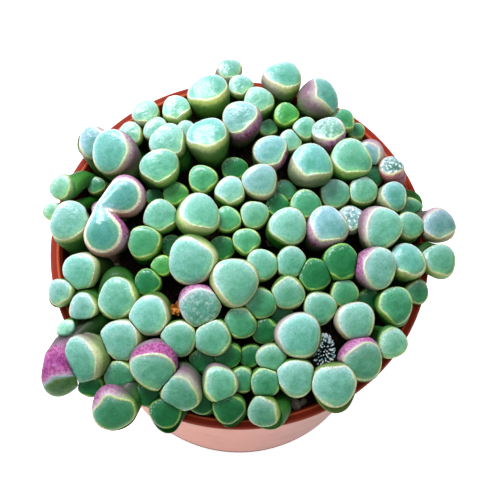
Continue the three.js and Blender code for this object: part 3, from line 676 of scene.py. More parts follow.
# %% [markdown]
# ## How single leaves look
# Old leaves have a tan or cream flank and a pale blue window, young ones are grass green, and leaves
# in the sun flush pink on one side. A row names a leaf by its picture place and gives its kind, how
# far it is flushed and on which side, then the side where its flank shows most and what share of the
# head's width that bare flank takes. Sides are degrees, anticlockwise from the right. A last number,
# where there is one, is the chance that the window has a blunt corner there.

# %% Looks
LOOKS = [
    # Back rows
    [229.6, 71.7, "pale", 0.35, 225, 235, 0.2], [240.8, 87.7, "pale", 0, 0, 280, 0.25],
    [209.7, 97, "tan", 0, 0, 282, 0.45], [282, 82, "tan", 0.45, 180, 255, 0.42],
    [317, 100, "tan", 0.6, 190, 215, 0.52, 1], [146.7, 114.8, "pale", 0.4, 250, 290, 0.3],
    [177, 111, "pale", 0, 0, 280, 0.28, 1], [258.4, 102.8, "pale", 0, 0, 290, 0.2],
    [157, 131, "pale", 0, 0, 290, 0.14], [131, 135.5, "pale", 0, 0, 320, 0.12],
    [186.5, 132.3, "pale", 0, 0, 270, 0.15], [208.9, 140.3, "tan", 0.15, 200, 275, 0.4],
    [241.8, 121.2, "blue", 0.95, 310, 310, 0.32], [285.9, 116, "young", 0, 0, 265, 0.1],
    [305, 130, "teal", 0, 0, 270, 0.16], [268.3, 128.9, "green", 0, 0, 270, 0.1],
    [329, 134.5, "frost", 1.0, 335, 275, 0.38, 0], [270.6, 153.3, "blue", 0.95, 355, 310, 0.18],
    [310.5, 167, "tan", 0.3, 215, 255, 0.32, 1], [350, 160.5, "teal", 0, 0, 250, 0.24, 1],
    [370, 155, "blue", 0.65, 60, 30, 0.2], [390.5, 170, "dry", 0.3, 320, 285, 0.34, 0],
    [95.7, 143.5, "blue", 0.55, 60, 20, 0.2], [115.6, 153, "tan", 0.75, 40, 345, 0.3],
    [169, 143.5, "pale", 0, 0, 320, 0.2], [160.8, 168.5, "teal", 0, 0, 268, 0.17],
    # Middle rows
    [203, 180, "green", 0, 0, 275, 0.13], [234.6, 170.5, "deep", 0, 0, 270, 0.1],
    [230.3, 191.8, "pale", 0, 0, 270, 0.15], [259.8, 182.5, "blue", 0.25, 330, 270, 0.18],
    [285, 191.7, "green", 0, 0, 270, 0.1], [175.7, 194.5, "young", 0, 0, 270, 0.1],
    [154.6, 197, "deep", 0, 0, 270, 0.1], [97, 186.5, "green", 0, 0, 270, 0.1],
    [172.8, 246.3, "deep", 0, 0, 270, 0.1], [222.7, 248.5, "deep", 0, 0, 270, 0.1],
    [126, 195.5, "heart", 0.8, 120, 270, 0.2], [105.5, 233.5, "heart", 0.9, 0, 270, 0.15],
    [98.5, 210.5, "heart", 0.7, 180, 180, 0.1], [63.8, 188, "soft", 0, 0, 320, 0.28],
    [53, 212, "soft", 0, 0, 320, 0.1], [71.7, 223.2, "pale", 0.1, 90, 325, 0.22, 0],
    [161, 217.5, "teal", 0, 0, 275, 0.14], [197.5, 216, "cream", 0, 0, 245, 0.3, 0],
    [162.3, 266.2, "young", 0, 0, 270, 0.1], [193.7, 260, "cream", 0, 0, 20, 0.12],
    [82.9, 271, "cream", 0.35, 150, 5, 0.22, 0], [148, 283, "deep", 0, 0, 270, 0.08],
    [234.1, 282.2, "cream", 0, 0, 215, 0.16, 0], [199.8, 305, "specks", 0.9, 90, 90, 0.12],
    [326.5, 228, "blue", 0.8, 225, 245, 0.22, 1], [350.5, 220.8, "wart", 0.1, 270, 270, 0.2],
    [391.5, 197.7, "tan", 0.2, 200, 205, 0.3], [379, 228, "cream", 0.7, 140, 165, 0.26, 0],
    [437, 226, "blue", 0.6, 110, 265, 0.16], [408.5, 226.5, "teal", 0, 0, 270, 0.08],
    [277.6, 206.6, "deep", 0, 0, 270, 0.1], [287.8, 226.9, "pale", 0, 0, 240, 0.1],
    [291, 263, "teal", 0.4, 0, 270, 0.08], [374.5, 268, "pale", 0.9, 175, 178, 0.32],
    [406.5, 263.5, "tan", 0, 0, 222, 0.25], [438, 262, "teal", 0, 0, 240, 0.2],
    [410, 209.5, "green", 0, 0, 90, 0.1], [415.8, 291.5, "green", 0, 0, 90, 0.1],
    [340.1, 263, "deep", 0, 0, 270, 0.12], [314.5, 275, "deep", 0, 0, 270, 0.1],
    # Front rows
    [62.2, 292.5, "pale", 0, 0, 330, 0.22], [85, 308.6, "pale", 0, 0, 0, 0.2],
    [120, 299.2, "teal", 0, 0, 350, 0.17], [150.5, 316, "cream", 0, 0, 345, 0.16],
    [71, 333.6, "soft", 0, 0, 30, 0.05, 0], [122.3, 339.5, "cream", 0, 0, 15, 0.18, 0],
    [87, 358.2, "cream", 0.3, 140, 25, 0.36, 0], [60.6, 376, "mauve", 1.7, 130, 110, 0.5, 0],
    [94, 328, "deep", 0, 0, 270, 0.1], [90.9, 384, "deep", 0, 0, 90, 0.1],
    [120.8, 375, "green", 0, 0, 90, 0.06], [114, 407, "green", 0.85, 150, 105, 0.28],
    [154.6, 366, "teal", 1.3, 80, 80, 0.3], [149, 392.3, "deep", 0, 0, 90, 0.1],
    [166.3, 411, "deep", 0, 0, 90, 0.06], [181.5, 389, "teal", 0.5, 80, 50, 0.32],
    [201, 400, "deep", 0, 0, 90, 0.1], [203, 360.3, "deep", 0, 0, 90, 0.1],
    [228, 355, "deep", 0, 0, 90, 0.1], [250, 355.3, "deep", 0, 0, 90, 0.1],
    [179.6, 337.5, "teal", 0, 0, 90, 0.08], [213.2, 337.5, "teal", 0, 0, 90, 0.08],
    [219.8, 383.8, "teal", 0.4, 60, 200, 0.1], [228.5, 406.5, "deep", 0, 0, 90, 0.08],
    [281, 314.8, "deep", 0, 0, 90, 0.08], [265.2, 330.5, "deep", 0, 0, 90, 0.08],
    [367.2, 299.4, "deep", 0, 0, 90, 0.1], [393.5, 305, "green", 0, 0, 190, 0.16],
    [319.5, 308.2, "teal", 0.3, 10, 90, 0.08], [354.4, 321.7, "cream", 0.3, 150, 205, 0.14, 0],
    [298, 335.2, "cream", 0.55, 150, 165, 0.14, 0], [390.3, 342.5, "soft", 0, 0, 155, 0.16],
    [360, 358.4, "teal", 1.0, 110, 125, 0.28], [271.8, 357.8, "teal", 0.35, 200, 90, 0.08],
    [295.3, 376.8, "pale", 0, 0, 90, 0.08], [333.5, 383.8, "cream", 0, 0, 60, 0.06, 1],
    [264.4, 410, "teal", 0, 0, 40, 0.12], [289.7, 142.3, "pale", 0, 0, 270, 0.12],
    [362.3, 191.8, "teal", 0, 0, 270, 0.14], [287.5, 293, "teal", 0, 0, 90, 0.1],
    [334.7, 194.8, "teal", 0, 0, 270, 0.12], [262, 265.4, "teal", 0, 0, 230, 0.1],
    [254.5, 215.5, "teal", 0, 0, 270, 0.1],
]

BARE_LEAST = 0.08
BARE_FOR_LEAN = 0.2


def linear(hex_colour):
    """A colour written as sRGB hex, as the linear numbers that the shaders work with."""
    values = [int(hex_colour[i:i + 2], 16) / 255 for i in (1, 3, 5)]
    return [v / 12.92 if v <= 0.04045 else ((v + 0.055) / 1.055) ** 2.4 for v in values] + [1.0]


for across, down, kind, flush, flush_side, bare_side, bare, *corner in LOOKS:
    named = min(leaves, key=lambda leaf: math.dist(leaf["row"], (across, down)))
    named.update(kind=kind, flush=flush, flush_side=math.radians(flush_side),
                 bare_side=math.radians(bare_side), bare=bare)
    if corner:
        named["corner_chance"] = corner[0]
for leaf in leaves:
    lean = leaf["lean"]
    leaf.setdefault("kind", "green")
    leaf.setdefault("flush", 0)
    leaf.setdefault("flush_side", 0)
    leaf.setdefault("bare_side", math.atan2(-lean[1], -lean[0]))
    leaf.setdefault("bare", BARE_LEAST + BARE_FOR_LEAN * np.hypot(*lean))
print("leaves that have a row of their own", len(LOOKS))

# %% [markdown]
# ## Kinds of leaf
# Each kind has its colours of window, rim, flank near the rim and flank further down, then how rough
# its window is and how strongly the painted sheen, a pale layer of painted light, lies over it. The
# rare kinds are single old leaves: speckled, frosted with crackle and a strong painted sheen, bruised
# mauve, warty or drying up.

# %% Kinds
KINDS = {
    "green": ["#64B88C", "#E2F8B4", "#86BC48", "#26721E", 0.6, 0.4],
    "soft": ["#BAFADA", "#DCF8B8", "#84CC7C", "#54A848", 0.8, 0.8],
    "young": ["#5EB464", "#D0F88C", "#62AE38", "#22761A", 0.4, 0.2],
    "deep": ["#2E8A54", "#A8DC78", "#4C983A", "#185E18", 0.4, 0.15],
    "teal": ["#8ACEB4", "#EAF8D0", "#9AC05A", "#36782A", 0.7, 0.75],
    "pale": ["#AAE2D6", "#F8FEEA", "#A2C866", "#3E8230", 0.8, 0.9],
    "tan": ["#8ED0C8", "#FAFCEA", "#ACC062", "#4C7C2E", 0.8, 0.9],
    "cream": ["#A0E0CE", "#FCFCEC", "#DAE29A", "#7EA052", 0.8, 0.9],
    "blue": ["#A4D2DC", "#FEFAEC", "#B6AE80", "#5C7638", 1.0, 1.0],
    "heart": ["#78BCB8", "#FEF8F4", "#A8786A", "#5E5838", 0.8, 1.0],
    "specks": ["#8EC6B6", "#FEEFF2", "#B4809C", "#5E5838", 1.7, 1.1],
    "frost": ["#98C6BA", "#FCFCF0", "#B49C80", "#5A7038", 2.2, 1.4],
    "mauve": ["#6A9A54", "#A0C4CC", "#94588A", "#2C6228", 0.8, 0.0],
    "wart": ["#A2D2DC", "#E6EEE6", "#A0AE84", "#4C7040", 4.0, 1.4],
    "dry": ["#86B4B4", "#F0DCD2", "#C65A4A", "#8A3A30", 4.0, 1.2],
}
print({kind: sum(leaf["kind"] == kind for leaf in leaves) for kind in KINDS})

# %% [markdown]
# ## The rim of a window
# The rim runs round at the back and comes to a shallow bend or a blunt corner in front, as on the real
# windows. Round, bend and corners are each a limit on the width, and a high power joins them softly.

# %% Rims
RIM_SHARPNESS = 11
RIM_REACH = 0.93
LEAST_REACH = 0.22
REACH_FLAT_ON = 1.04
REACH_FOR_BARE = 1.9
REACH_FOR_TILT = 0.55
CORNER_REACH = 1.08
CORNER_CHANCE = 0.75
FEW_CORNERS = 0.1
WIDE_BARE = 0.26
CORNER_SIDES = (0.45, 0.7)
WINDOW_BEND = 1.25
FLAT_SIDES = (2.0, 4.2)
FLAT_WIDTHS = (0.86, 0.92)
LEAST_TURN = 0.02
rng = np.random.default_rng(7)


def window_reach(leaf):
    """How far the window reaches towards the bare side, in radii."""
    toward = np.array([math.cos(leaf["bare_side"]), math.sin(leaf["bare_side"])])
    tilt = -float(leaf["lean"] @ toward)
    seen = REACH_FLAT_ON - REACH_FOR_BARE * leaf["bare"] + REACH_FOR_TILT * tilt
    return np.clip(seen / math.sqrt(1 - tilt ** 2), LEAST_REACH, RIM_REACH)


def rim_outline(leaf, angle):
    """Width of the window in radii: round at the back, a shallow bend or a blunt corner on the bare side."""
    reach = window_reach(leaf)
    around = angle - leaf["bare_side"]
    total = np.full(len(angle), RIM_REACH ** -RIM_SHARPNESS)
    if rng.uniform() < leaf.get("corner_chance", CORNER_CHANCE if leaf["bare"] < WIDE_BARE else FEW_CORNERS):
        for side in rng.uniform(*CORNER_SIDES, 2) * [1, -1]:
            across = np.maximum(np.cos(around - side), LEAST_TURN)
            total += (across / (reach * CORNER_REACH * math.cos(side))) ** RIM_SHARPNESS
    else:
        back = reach - WINDOW_BEND
        bend = back * np.cos(around) + np.sqrt(WINDOW_BEND ** 2 - (back * np.sin(around)) ** 2)
        total += np.maximum(bend, 0.1) ** -RIM_SHARPNESS
    across = np.maximum(np.cos(around - rng.uniform(*FLAT_SIDES)), LEAST_TURN)
    total += (across / rng.uniform(*FLAT_WIDTHS)) ** RIM_SHARPNESS
    uneven = 1 + 0.02 * np.cos(2 * angle + rng.uniform(0, 6)) + 0.015 * np.cos(5 * angle + rng.uniform(0, 6))
    return uneven * total ** (-1 / RIM_SHARPNESS)


print("widest window, in radii", RIM_REACH)

# %% [markdown]
# ## What the skin has to know
# The leaf skin is one material for all leaves, so what differs from leaf to leaf is written on the
# corners: how far a corner is from the rim, its flush, how much painted sky sheen it gets, and its
# colours. Leaves deep in the clump and at the front are painted a little darker, as painted shade.

# %% Looks on the corners
SHADE_SPREAD = 0.07
TINT_SPREAD = 0.06
DEEP_SHADE = 0.04
DEEP_BELOW = 10
BACK_LIGHT = 0.0012
BACK_LIMIT = 30
STREAK_DRAW = 0.86


def write_values(piece, name, kind, key, values):
    """Writes one value for each corner of a piece."""
    piece.data.attributes.new(name, kind, "POINT").data.foreach_set(key, np.ravel(values))


def give_looks(piece, leaf, from_rim, flush, frost):
    """Writes what the leaf skin needs to know at every corner of a piece."""
    depth = leaf["head"][2] - POT_HEIGHT - DEEP_BELOW
    # Painted shade: leaves deeper in the clump and leaves at the front are painted darker, besides a random
    # tone.
    shade = rng.uniform(1 - SHADE_SPREAD, 1 + SHADE_SPREAD) * (1 + DEEP_SHADE * min(0, depth))
    shade *= 1 + BACK_LIGHT * min(BACK_LIMIT, leaf["head"][1])
    tint = np.array([rng.uniform(1 - TINT_SPREAD, 1 + TINT_SPREAD), 1,
                     rng.uniform(1 - TINT_SPREAD, 1 + TINT_SPREAD)])
    *colours, rough, veil = KINDS[leaf["kind"]]
    looks = {"from_rim": from_rim, "flush": flush, "frost": frost, "veil": frost * veil,
             "rough": np.full(len(from_rim), max(0, rough - 1) / 3)}
    for name, values in looks.items():
        write_values(piece, name, "FLOAT", "value", values)
    where = corners(piece) / MM
    drawn_out = where - np.outer(where @ leaf["axis"], leaf["axis"]) * STREAK_DRAW
    write_values(piece, "streak_place", "FLOAT_VECTOR", "vector", drawn_out)
    for name, colour in zip(["window", "rim", "flank", "stem"], colours):
        value = np.append(np.array(linear(colour)[:3]) * tint * shade, 1)
        write_values(piece, name + "_colour", "FLOAT_COLOR", "color", np.tile(value, len(from_rim)))


print("each leaf's shade varies by", SHADE_SPREAD, "and its tint by", TINT_SPREAD)

# %% [markdown]
# ## Bending the club
# A copy of the club follows its leaf's middle line, ring by ring, and its last rings turn to the
# leaf's own axis. A real window is flatter than the dome it was modelled as, and sinks a little
# inside its rim, so the dome is eased towards the plane of the rim.

# %% Bend and shape a club
WINDOW_SINK = 0.05
WINDOW_FLAT = 0.6
SKIN_SHARE = 0.95
LOBE_SHARE = 0.84
BRIDGE_SHARE = 0.5
LOBE_TOP = 0.4
OUT_OF_ROUND = 0.05


def follow_line(leaf):
    """The middle, direction, sideways direction and radius of the club at every corner."""
    place = np.minimum(club_share * LINE_STEPS, LINE_STEPS - 1e-9)
    step = place.astype(int)
    part = (place - step)[:, None]
    line = leaf["line"]
    centre = line[step] * (1 - part) + line[step + 1] * part
    along = line[step + 1] - line[step]
    along /= np.linalg.norm(along, axis=1)[:, None]
    turn = club_share[:, None] ** 2
    along = along * (1 - turn) + leaf["axis"] * turn
    along[club_share == 0] = UPRIGHT
    along /= np.linalg.norm(along, axis=1)[:, None]
    aside = np.array([1.0, 0, 0]) - along * along[:, :1]
    aside /= np.linalg.norm(aside, axis=1)[:, None]
    radius = leaf["radii"][step] * (1 - part[:, 0]) + leaf["radii"][step + 1] * part[:, 0]
    return centre, along, aside, radius


def shape_head(rim):
    """Width and height of the head in radii; the window flattens towards the plane of its rim."""
    width, above = dome(rim, club_head)
    on_rim = club_head == 1
    flat = np.stack([width * np.cos(club_angle) * club_spoke,
                     width * np.sin(club_angle) * club_spoke, np.ones(len(rim))], 1)
    slopes = np.linalg.lstsq(flat[on_rim], above[on_rim], rcond=None)[0]
    inner = np.clip(1 - width / rim, 0, 1) * (club_head > 1)
    inner[~club_spoke] = 1
    flatter = (above - flat @ slopes) * (WINDOW_FLAT - 1) * (1 - (1 - inner) ** 3)
    return width, above + flatter - WINDOW_SINK * (1 - (1 - inner) ** 6)


def skin_share(leaf):
    """How much of its room a leaf's skin fills; the heart's parts leave room for their joint skin."""
    if leaf["bridge"]:
        return BRIDGE_SHARE
    return LOBE_SHARE if leaf["heart"] else SKIN_SHARE


print("window flattened to", WINDOW_FLAT, "of its dome")

# %% [markdown]
# ## Skin relief and sun flush
# Real leaves are never quite smooth: soft lumps all over, grain on rough windows and a fine ridge
# along the rim. Sun turns one side of a leaf pink, most just below the rim, and in uneven streaks.

# %% Relief and flush
LUMP = 2.2
FINE_LUMP = 0.9
RIDGE_WIDTH = 0.28
RIDGE_HEIGHT = 0.016
LUMP_HEIGHT = 0.10
FINE_HEIGHT = 0.035
RIM_SOFTNESS = 0.15
FLUSH_DEPTH = 3.5
MAUVE_DEPTH = 7
FLUSH_FADE = 2.5
NOISE_STEP = 9.0


def noise_at(points, size, shift):
    """Smooth noise at each point, in lumps of about this many millimetres."""
    return np.array([noise.noise(Vector(point) / size + Vector(shift)) for point in points])


def skin_relief(leaf, index, points, from_rim, on_window):
    """How far the skin stands out: a fine ridge along the rim, soft lumps, and grain on rough windows."""
    rough = KINDS[leaf["kind"]][4]
    lumps = noise_at(points, LUMP, (index * NOISE_STEP, 0, 0))
    fine = noise_at(points, FINE_LUMP, (0, index * NOISE_STEP, 0))
    ridge = RIDGE_HEIGHT * leaf["radius"] * np.exp(-(from_rim / RIDGE_WIDTH) ** 2)
    return ridge + LUMP_HEIGHT * lumps * (0.4 + rough * on_window) + FINE_HEIGHT * fine * rough * on_window


def sun_flush(leaf, index, from_rim, on_window):
    """How pink each corner is: strongest by the rim on the flushed side, and uneven round the leaf."""
    mauve = leaf["kind"] == "mauve"
    below = np.maximum(-from_rim - (MAUVE_DEPTH if mauve else FLUSH_DEPTH), 0)
    side = np.clip(0.5 + 0.8 * np.cos(club_angle - leaf["flush_side"]), 0, 1)
    round_leaf = np.stack([np.cos(club_angle), np.sin(club_angle), np.zeros(len(club_angle))], 1) * NOISE_STEP
    streak = 1 + 0.4 * noise_at(round_leaf, 1, (0, 0, index))
    flush = leaf["flush"] * np.exp(-below / FLUSH_FADE) * (1 - on_window) * side * streak
    if mauve:
        flush *= 0.4 + 0.8 * np.clip((-from_rim - 0.6) / 3, 0, 1)
    return flush


print("flush reaches", FLUSH_DEPTH, "mm down a flank")

# %% [markdown]
# ## Growing one leaf
# Now the parts come together: bend, rim, squeeze, relief and looks. The distance from the rim is
# measured along the skin, and the side of the window that faces the back left gets more painted sheen,
# a lighter colour painted where the light falls.

# %% Grow a leaf
LIGHT_SIDE = math.radians(125)
SHEEN_MIDDLE = 0.35
SHEEN_SWING = 0.75
SMOOTH_BELOW = 0.3


def grow(index):
    """Bends, squeezes and finishes one copy of the club, and gives its corners their looks."""
    leaf = growth[index]
    centre, along, aside, room = follow_line(leaf)
    rim = rim_outline(leaf, club_angle)
    width, above = shape_head(rim)
    rim_width, rim_height = dome(rim, np.ones(len(rim)))
    if leaf["heart"]:
        above = above * LOBE_TOP
    uneven = 1 + OUT_OF_ROUND * np.cos(3 * club_angle - leaf["corner"])
    spoke = skin_share(leaf) * room * uneven * np.where(club_head > 0, width, 1) * club_spoke
    offset = (aside * (np.cos(club_angle) * spoke)[:, None]
              + np.cross(along, aside) * (np.sin(club_angle) * spoke)[:, None]
              + along * (above * leaf["radius"] * (club_head > 0))[:, None])
    offset = squeeze(index, centre, offset, room)

    run = np.hypot(width - rim_width, above - rim_height) * leaf["radius"]
    down = np.linalg.norm(leaf["head"] - centre, axis=1)
    down = down + np.hypot(1 - rim_width, rim_height) * leaf["radius"]
    from_rim = np.where(club_head > 0, np.sign(club_head - 1) * run, -down)
    on_window = 1 / (1 + np.exp(-from_rim / RIM_SOFTNESS))
    relief = skin_relief(leaf, index, centre + offset, from_rim, on_window) * (club_level > SMOOTH_BELOW)
    out = offset / np.maximum(np.linalg.norm(offset, axis=1), 1e-9)[:, None]
    copy = copy_to(master, centre + offset + out * relief[:, None])
    # Painted sheen: highest on the side of the head that faces the back left, where the skin is painted
    # lighter.
    frost = np.clip(SHEEN_MIDDLE + SHEEN_SWING * width * np.cos(club_angle - LIGHT_SIDE), 0, 1) * club_spoke
    give_looks(copy, leaf, from_rim, sun_flush(leaf, index, from_rim, on_window), frost)
    return copy


print("leaves to grow", len(leaves))

# %% [markdown]
# ## Rosette by rosette
# The leaves of a crown are grown one after the other and joined, because a rosette is one plant. The
# master leaf has done its work then and is removed.

# %% Grow the rosettes


def join_all(name, pieces):
    """Joins pieces into one, as the first of them."""
    bpy.ops.object.select_all(action="DESELECT")
    for piece in pieces:
        piece.select_set(True)
    bpy.context.view_layer.objects.active = pieces[0]
    if len(pieces) > 1:
        bpy.ops.object.join()
    pieces[0].name = name
    return pieces[0]


rosettes = []
for crown in crowns:
    members = [next(i for i, plant in enumerate(growth) if plant is leaf) for leaf in crown["leaves"]]
    rosettes.append(join_all("leaves_of_" + crown["name"], [grow(index) for index in members]))
bpy.data.objects.remove(master)
print(len(rosettes), "rosettes,", sum(len(rosette.data.polygons) for rosette in rosettes), "faces")

# %% [markdown]
# ## The heart-shaped leaf
# One leaf never parted: its two heads share a single window with a narrow cleft. Two clubs and a row of
# rounded pills are laid over each other and remeshed into one skin, as clay is pressed together, and
# smoothed. The pills follow a bent spine, from one lobe over the cleft to the other.

# %% Pills along the heart's spine
HEART_BEND = [102.1, 205.4]
BEND_BELOW = 0.4
HEART_RADII = [5.5, 1.75, 5.8]
HEART_TOP = 3.4
HEART_STEPS = 8
HEART_DROP = 0.55
PILL_DEPTH = 1.3

heart_axis = unit(heart[0]["axis"] + heart[1]["axis"])
heart_right = unit(view_right - heart_axis * (view_right @ heart_axis))
heart_up = np.cross(heart_axis, heart_right)
heart_bend = sight_point(*HEART_BEND, heart[0]["head"][2] - BEND_BELOW)
spine_ends = [heart[0]["head"], heart_bend, heart[1]["head"]]
spine = []
for start, end, low, high in zip(spine_ends, spine_ends[1:], HEART_RADII, HEART_RADII[1:]):
    for step in range(HEART_STEPS):
        part = step / HEART_STEPS
        place = start * (1 - part) + end * part - heart_up * HEART_DROP
        spine.append((place, low * (1 - part) + high * part))
spine.append((spine_ends[2] - heart_up * HEART_DROP, HEART_RADII[2]))

bpy.ops.object.select_all(action="DESELECT")
bpy.ops.mesh.primitive_uv_sphere_add(segments=48, ring_count=24, radius=1)
pill_master = bpy.context.object
ball = corners(pill_master)
flat = np.hypot(ball[:, 0], ball[:, 1])[:, None]
ball_across = ball[:, :2] / np.maximum(flat, 1e-6) * flat ** (2 / DOME_POWER)
ball_up = np.abs(ball[:, 2]) ** (2 / DOME_POWER)
pills = []
for place, radius in spine:
    height = np.where(ball[:, 2] > 0, HEART_TOP * ball_up, -PILL_DEPTH * radius * ball_up)
    shape = (place + heart_right * (ball_across[:, :1] * radius) + heart_up * (ball_across[:, 1:] * radius)
             + heart_axis * height[:, None])
    pills.append(copy_to(pill_master, shape))
bpy.data.objects.remove(pill_master)
print(len(pills), "pills")

# %% [markdown]
# ## Pressed into one skin
# A voxel remesh wraps one skin round everything it is given, and a smooth modifier takes its steps
# away. A small function adds a modifier, sets it and applies it, as a click on Apply would.

# %% Press the heart into one skin
HEART_VOXEL = 0.27


def use(obj, kind, **settings):
    """Adds a modifier, sets it and applies it."""
    pick(obj)
    modifier = obj.modifiers.new(kind.lower(), kind)
    for key, value in settings.items():
        setattr(modifier, key, value)
    bpy.ops.object.modifier_apply(modifier=modifier.name)


heart_crown = next(i for i, crown in enumerate(crowns) if any(leaf["heart"] for leaf in crown["leaves"]))
heart_leaf = join_all(rosettes[heart_crown].name, [rosettes[heart_crown]] + pills)
use(heart_leaf, "REMESH", mode="VOXEL", voxel_size=HEART_VOXEL * MM, use_smooth_shade=True)
use(heart_leaf, "SMOOTH", factor=0.5, iterations=6)
rosettes[heart_crown] = heart_leaf
print("heart leaf", len(heart_leaf.data.polygons), "faces")

# %% [markdown]
# ## The heart's rim and flush
# The remeshed skin has lost its levels, so each corner looks for the pill that holds it deepest. How
# deep it is, less a margin that is wider on the lower right, gives its distance from the rim. The
# right lobe is flushed more than the left one. The painted sheen grows towards the upper left of the
# heart, and the cleft gets extra painted sheen.

# %% Looks of the heart
MARGIN = 1.2
MARGIN_SWING = 0.65
MARGIN_SIDE = math.radians(-45)
FULL_MARGIN_RADIUS = 3.2
HEART_FLUSH = 0.42
HEART_FLUSH_UP = 0.4
LEFT_FLUSH = 0.25
RIGHT_FLUSH = 0.7
LOBE_FLUSH_SIDE = math.radians(35)
HEART_FLUSH_DEPTH = 4
CLEFT_SHEEN = 0.8
CLEFT_WIDTH = 0.5

where = corners(heart_leaf) / MM
inside = np.full(len(where), -np.inf)
height, turn, thick, on_lobe = [np.zeros(len(where)) for _ in range(4)]
for number, (place, radius) in enumerate(spine):
    offset = where - place
    x, y, z = offset @ heart_right, offset @ heart_up, offset @ heart_axis
    deep = radius - np.hypot(x, y)
    nearer = deep > inside
    inside = np.where(nearer, deep, inside)
    height, turn, thick = [np.where(nearer, new, old) for new, old in
                           ((z, height), (np.arctan2(y, x), turn), (radius, thick))]
    on_lobe = np.where(nearer, number / HEART_STEPS - 1, on_lobe)
margin = (MARGIN + MARGIN_SWING * np.cos(turn - MARGIN_SIDE)) * np.minimum(1, thick / FULL_MARGIN_RADIUS)
from_rim = np.where(height > 0, inside - margin, np.minimum(height, 0) - margin)
toward = np.maximum(0, np.cos(turn - LOBE_FLUSH_SIDE))
flush = HEART_FLUSH + HEART_FLUSH_UP * np.sin(turn)
flush += np.where(on_lobe > 0, RIGHT_FLUSH, LEFT_FLUSH) * toward
flush *= 1 / (1 + np.exp(from_rim / RIM_SOFTNESS))
flush *= np.exp(-np.maximum(-from_rim - HEART_FLUSH_DEPTH, 0) / FLUSH_FADE)
# Painted sheen: lighter towards the upper left of the heart and in the cleft.
frost = np.clip(0.4 - 0.07 * ((where - spine[HEART_STEPS][0]) @ unit(heart_right - heart_up)), 0, 1)
frost += CLEFT_SHEEN * np.exp(-(on_lobe / CLEFT_WIDTH) ** 2)
give_looks(heart_leaf, heart[0], from_rim, flush, np.clip(frost, 0, 1))
print("deepest inside the heart's window, mm", round(float(from_rim.max()), 1))

# %% [markdown]
# ## Do the leaves sit where their solids are?
# Each dressed rosette is compared with the box of the solid that it replaces, apart from its foot,
# which is hidden in the soil.

# %% How near the dressed rosettes are to their solids
worst = 0
for crown, rosette in zip(crowns, rosettes):
    low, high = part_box(crown["name"])
    mine = corners(rosette)
    top = max(abs(mine[:, i].max() - high[i]) for i in range(3))
    worst = max(worst, top, *(abs(mine[:, i].min() - low[i]) for i in (0, 1)))
print("largest difference from a solid's box, mm", round(worst / MM, 2))

# %% [markdown]
# ## Materials are built from nodes
# One function adds any node: its settings, the numbers or colours of its inputs, and the sockets that
# they are linked to. A colour is written as hex and becomes linear on its way in. Another function
# gives a piece its material and tells the frame which solid it stands for.

# %% Helpers for materials
TIMES = {"operation": "MULTIPLY"}
PLUS = {"operation": "ADD"}
MINUS = {"operation": "SUBTRACT"}
TIMES_PLUS = {"operation": "MULTIPLY_ADD"}
SMOOTH = {"interpolation_type": "SMOOTHSTEP"}
MIXED = {"data_type": "RGBA"}
TINTED = {"data_type": "RGBA", "blend_type": "MULTIPLY"}
FACTOR, UNDER, OVER, RESULT = 0, 6, 7, 2


def new_material(name):
    material = bpy.data.materials.new(name)
    material.use_nodes = True
    material.node_tree.nodes.clear()
    return material


def add(material, kind, settings=None, inputs=None, output=0):
    """Adds one node with its settings, and values or links on its inputs; returns one of its outputs."""
    node = material.node_tree.nodes.new("ShaderNode" + kind)
    for key, value in (settings or {}).items():
        if key == "stops":
            while len(node.color_ramp.elements) < len(value):
                node.color_ramp.elements.new(0.5)
            for element, (place, colour) in zip(node.color_ramp.elements, value):
                element.position = place
                element.color = linear(colour)
        else:
            setattr(node, key, value)
    for key, value in (inputs or {}).items():
        if isinstance(value, bpy.types.NodeSocket):
            material.node_tree.links.new(value, node.inputs[key])
        else:
            node.inputs[key].default_value = linear(value) if isinstance(value, str) else value
    return node.outputs[output] if node.outputs else None


def dress(piece, material, node):
    """Gives a piece its material and tells the frame what it stands for."""
    piece.data.materials.clear()
    piece.data.materials.append(material)
    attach(piece, "root")
    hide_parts(node)


print("a colour through linear()", [round(value, 3) for value in linear("#64B88C")])

# %% [markdown]
# ## Leaf skin
# The skin is a waxy, slightly see-through epidermis: satin on the flank and glassier on the window.
# Its colour is built like a glaze, layer over layer, and each layer shows through masks. A mask
# comes from the distance to the rim, from the painted sheen that stands in for the light on the leaf,
# or from a grain. The grains are sizes in millimetres; the finest are coarser than on the plant,
# because finer ones would blur away at this distance.

# %% What the leaf skin reads
GRAINS = {"wobble": (0.8, 3), "spots": (2.4, 2), "clouds": (2.0, 2), "mottle": (0.8, 5), "grain": (0.42, 3),
          "flecks": (0.6, 3), "crackle": (0.75, 4), "pits": (0.6, 2), "pores": (0.45, 3),
          "breaks": (0.45, 2), "relief": (1.1, 6)}
STREAK_SIZE = 0.5

skin = new_material("waxy_leaf_epidermis")
spot = add(skin, "TexCoord", output="Object")
sockets = {}
for name in ("from_rim", "flush", "frost", "veil", "rough"):
    sockets[name] = add(skin, "Attribute", {"attribute_name": name}, output="Fac")
for name in ("window_colour", "rim_colour", "flank_colour", "stem_colour"):
    sockets[name] = add(skin, "Attribute", {"attribute_name": name}, output="Color")
for name, (size, detail) in GRAINS.items():
    sockets[name] = add(skin, "TexNoise", None, {"Vector": spot, "Scale": 1 / (size * MM), "Detail": detail})
streak_place = add(skin, "Attribute", {"attribute_name": "streak_place"}, output="Vector")
sockets["streaks"] = add(skin, "TexNoise", None, {"Vector": streak_place, "Scale": 1 / STREAK_SIZE,
                                                  "Detail": 2})

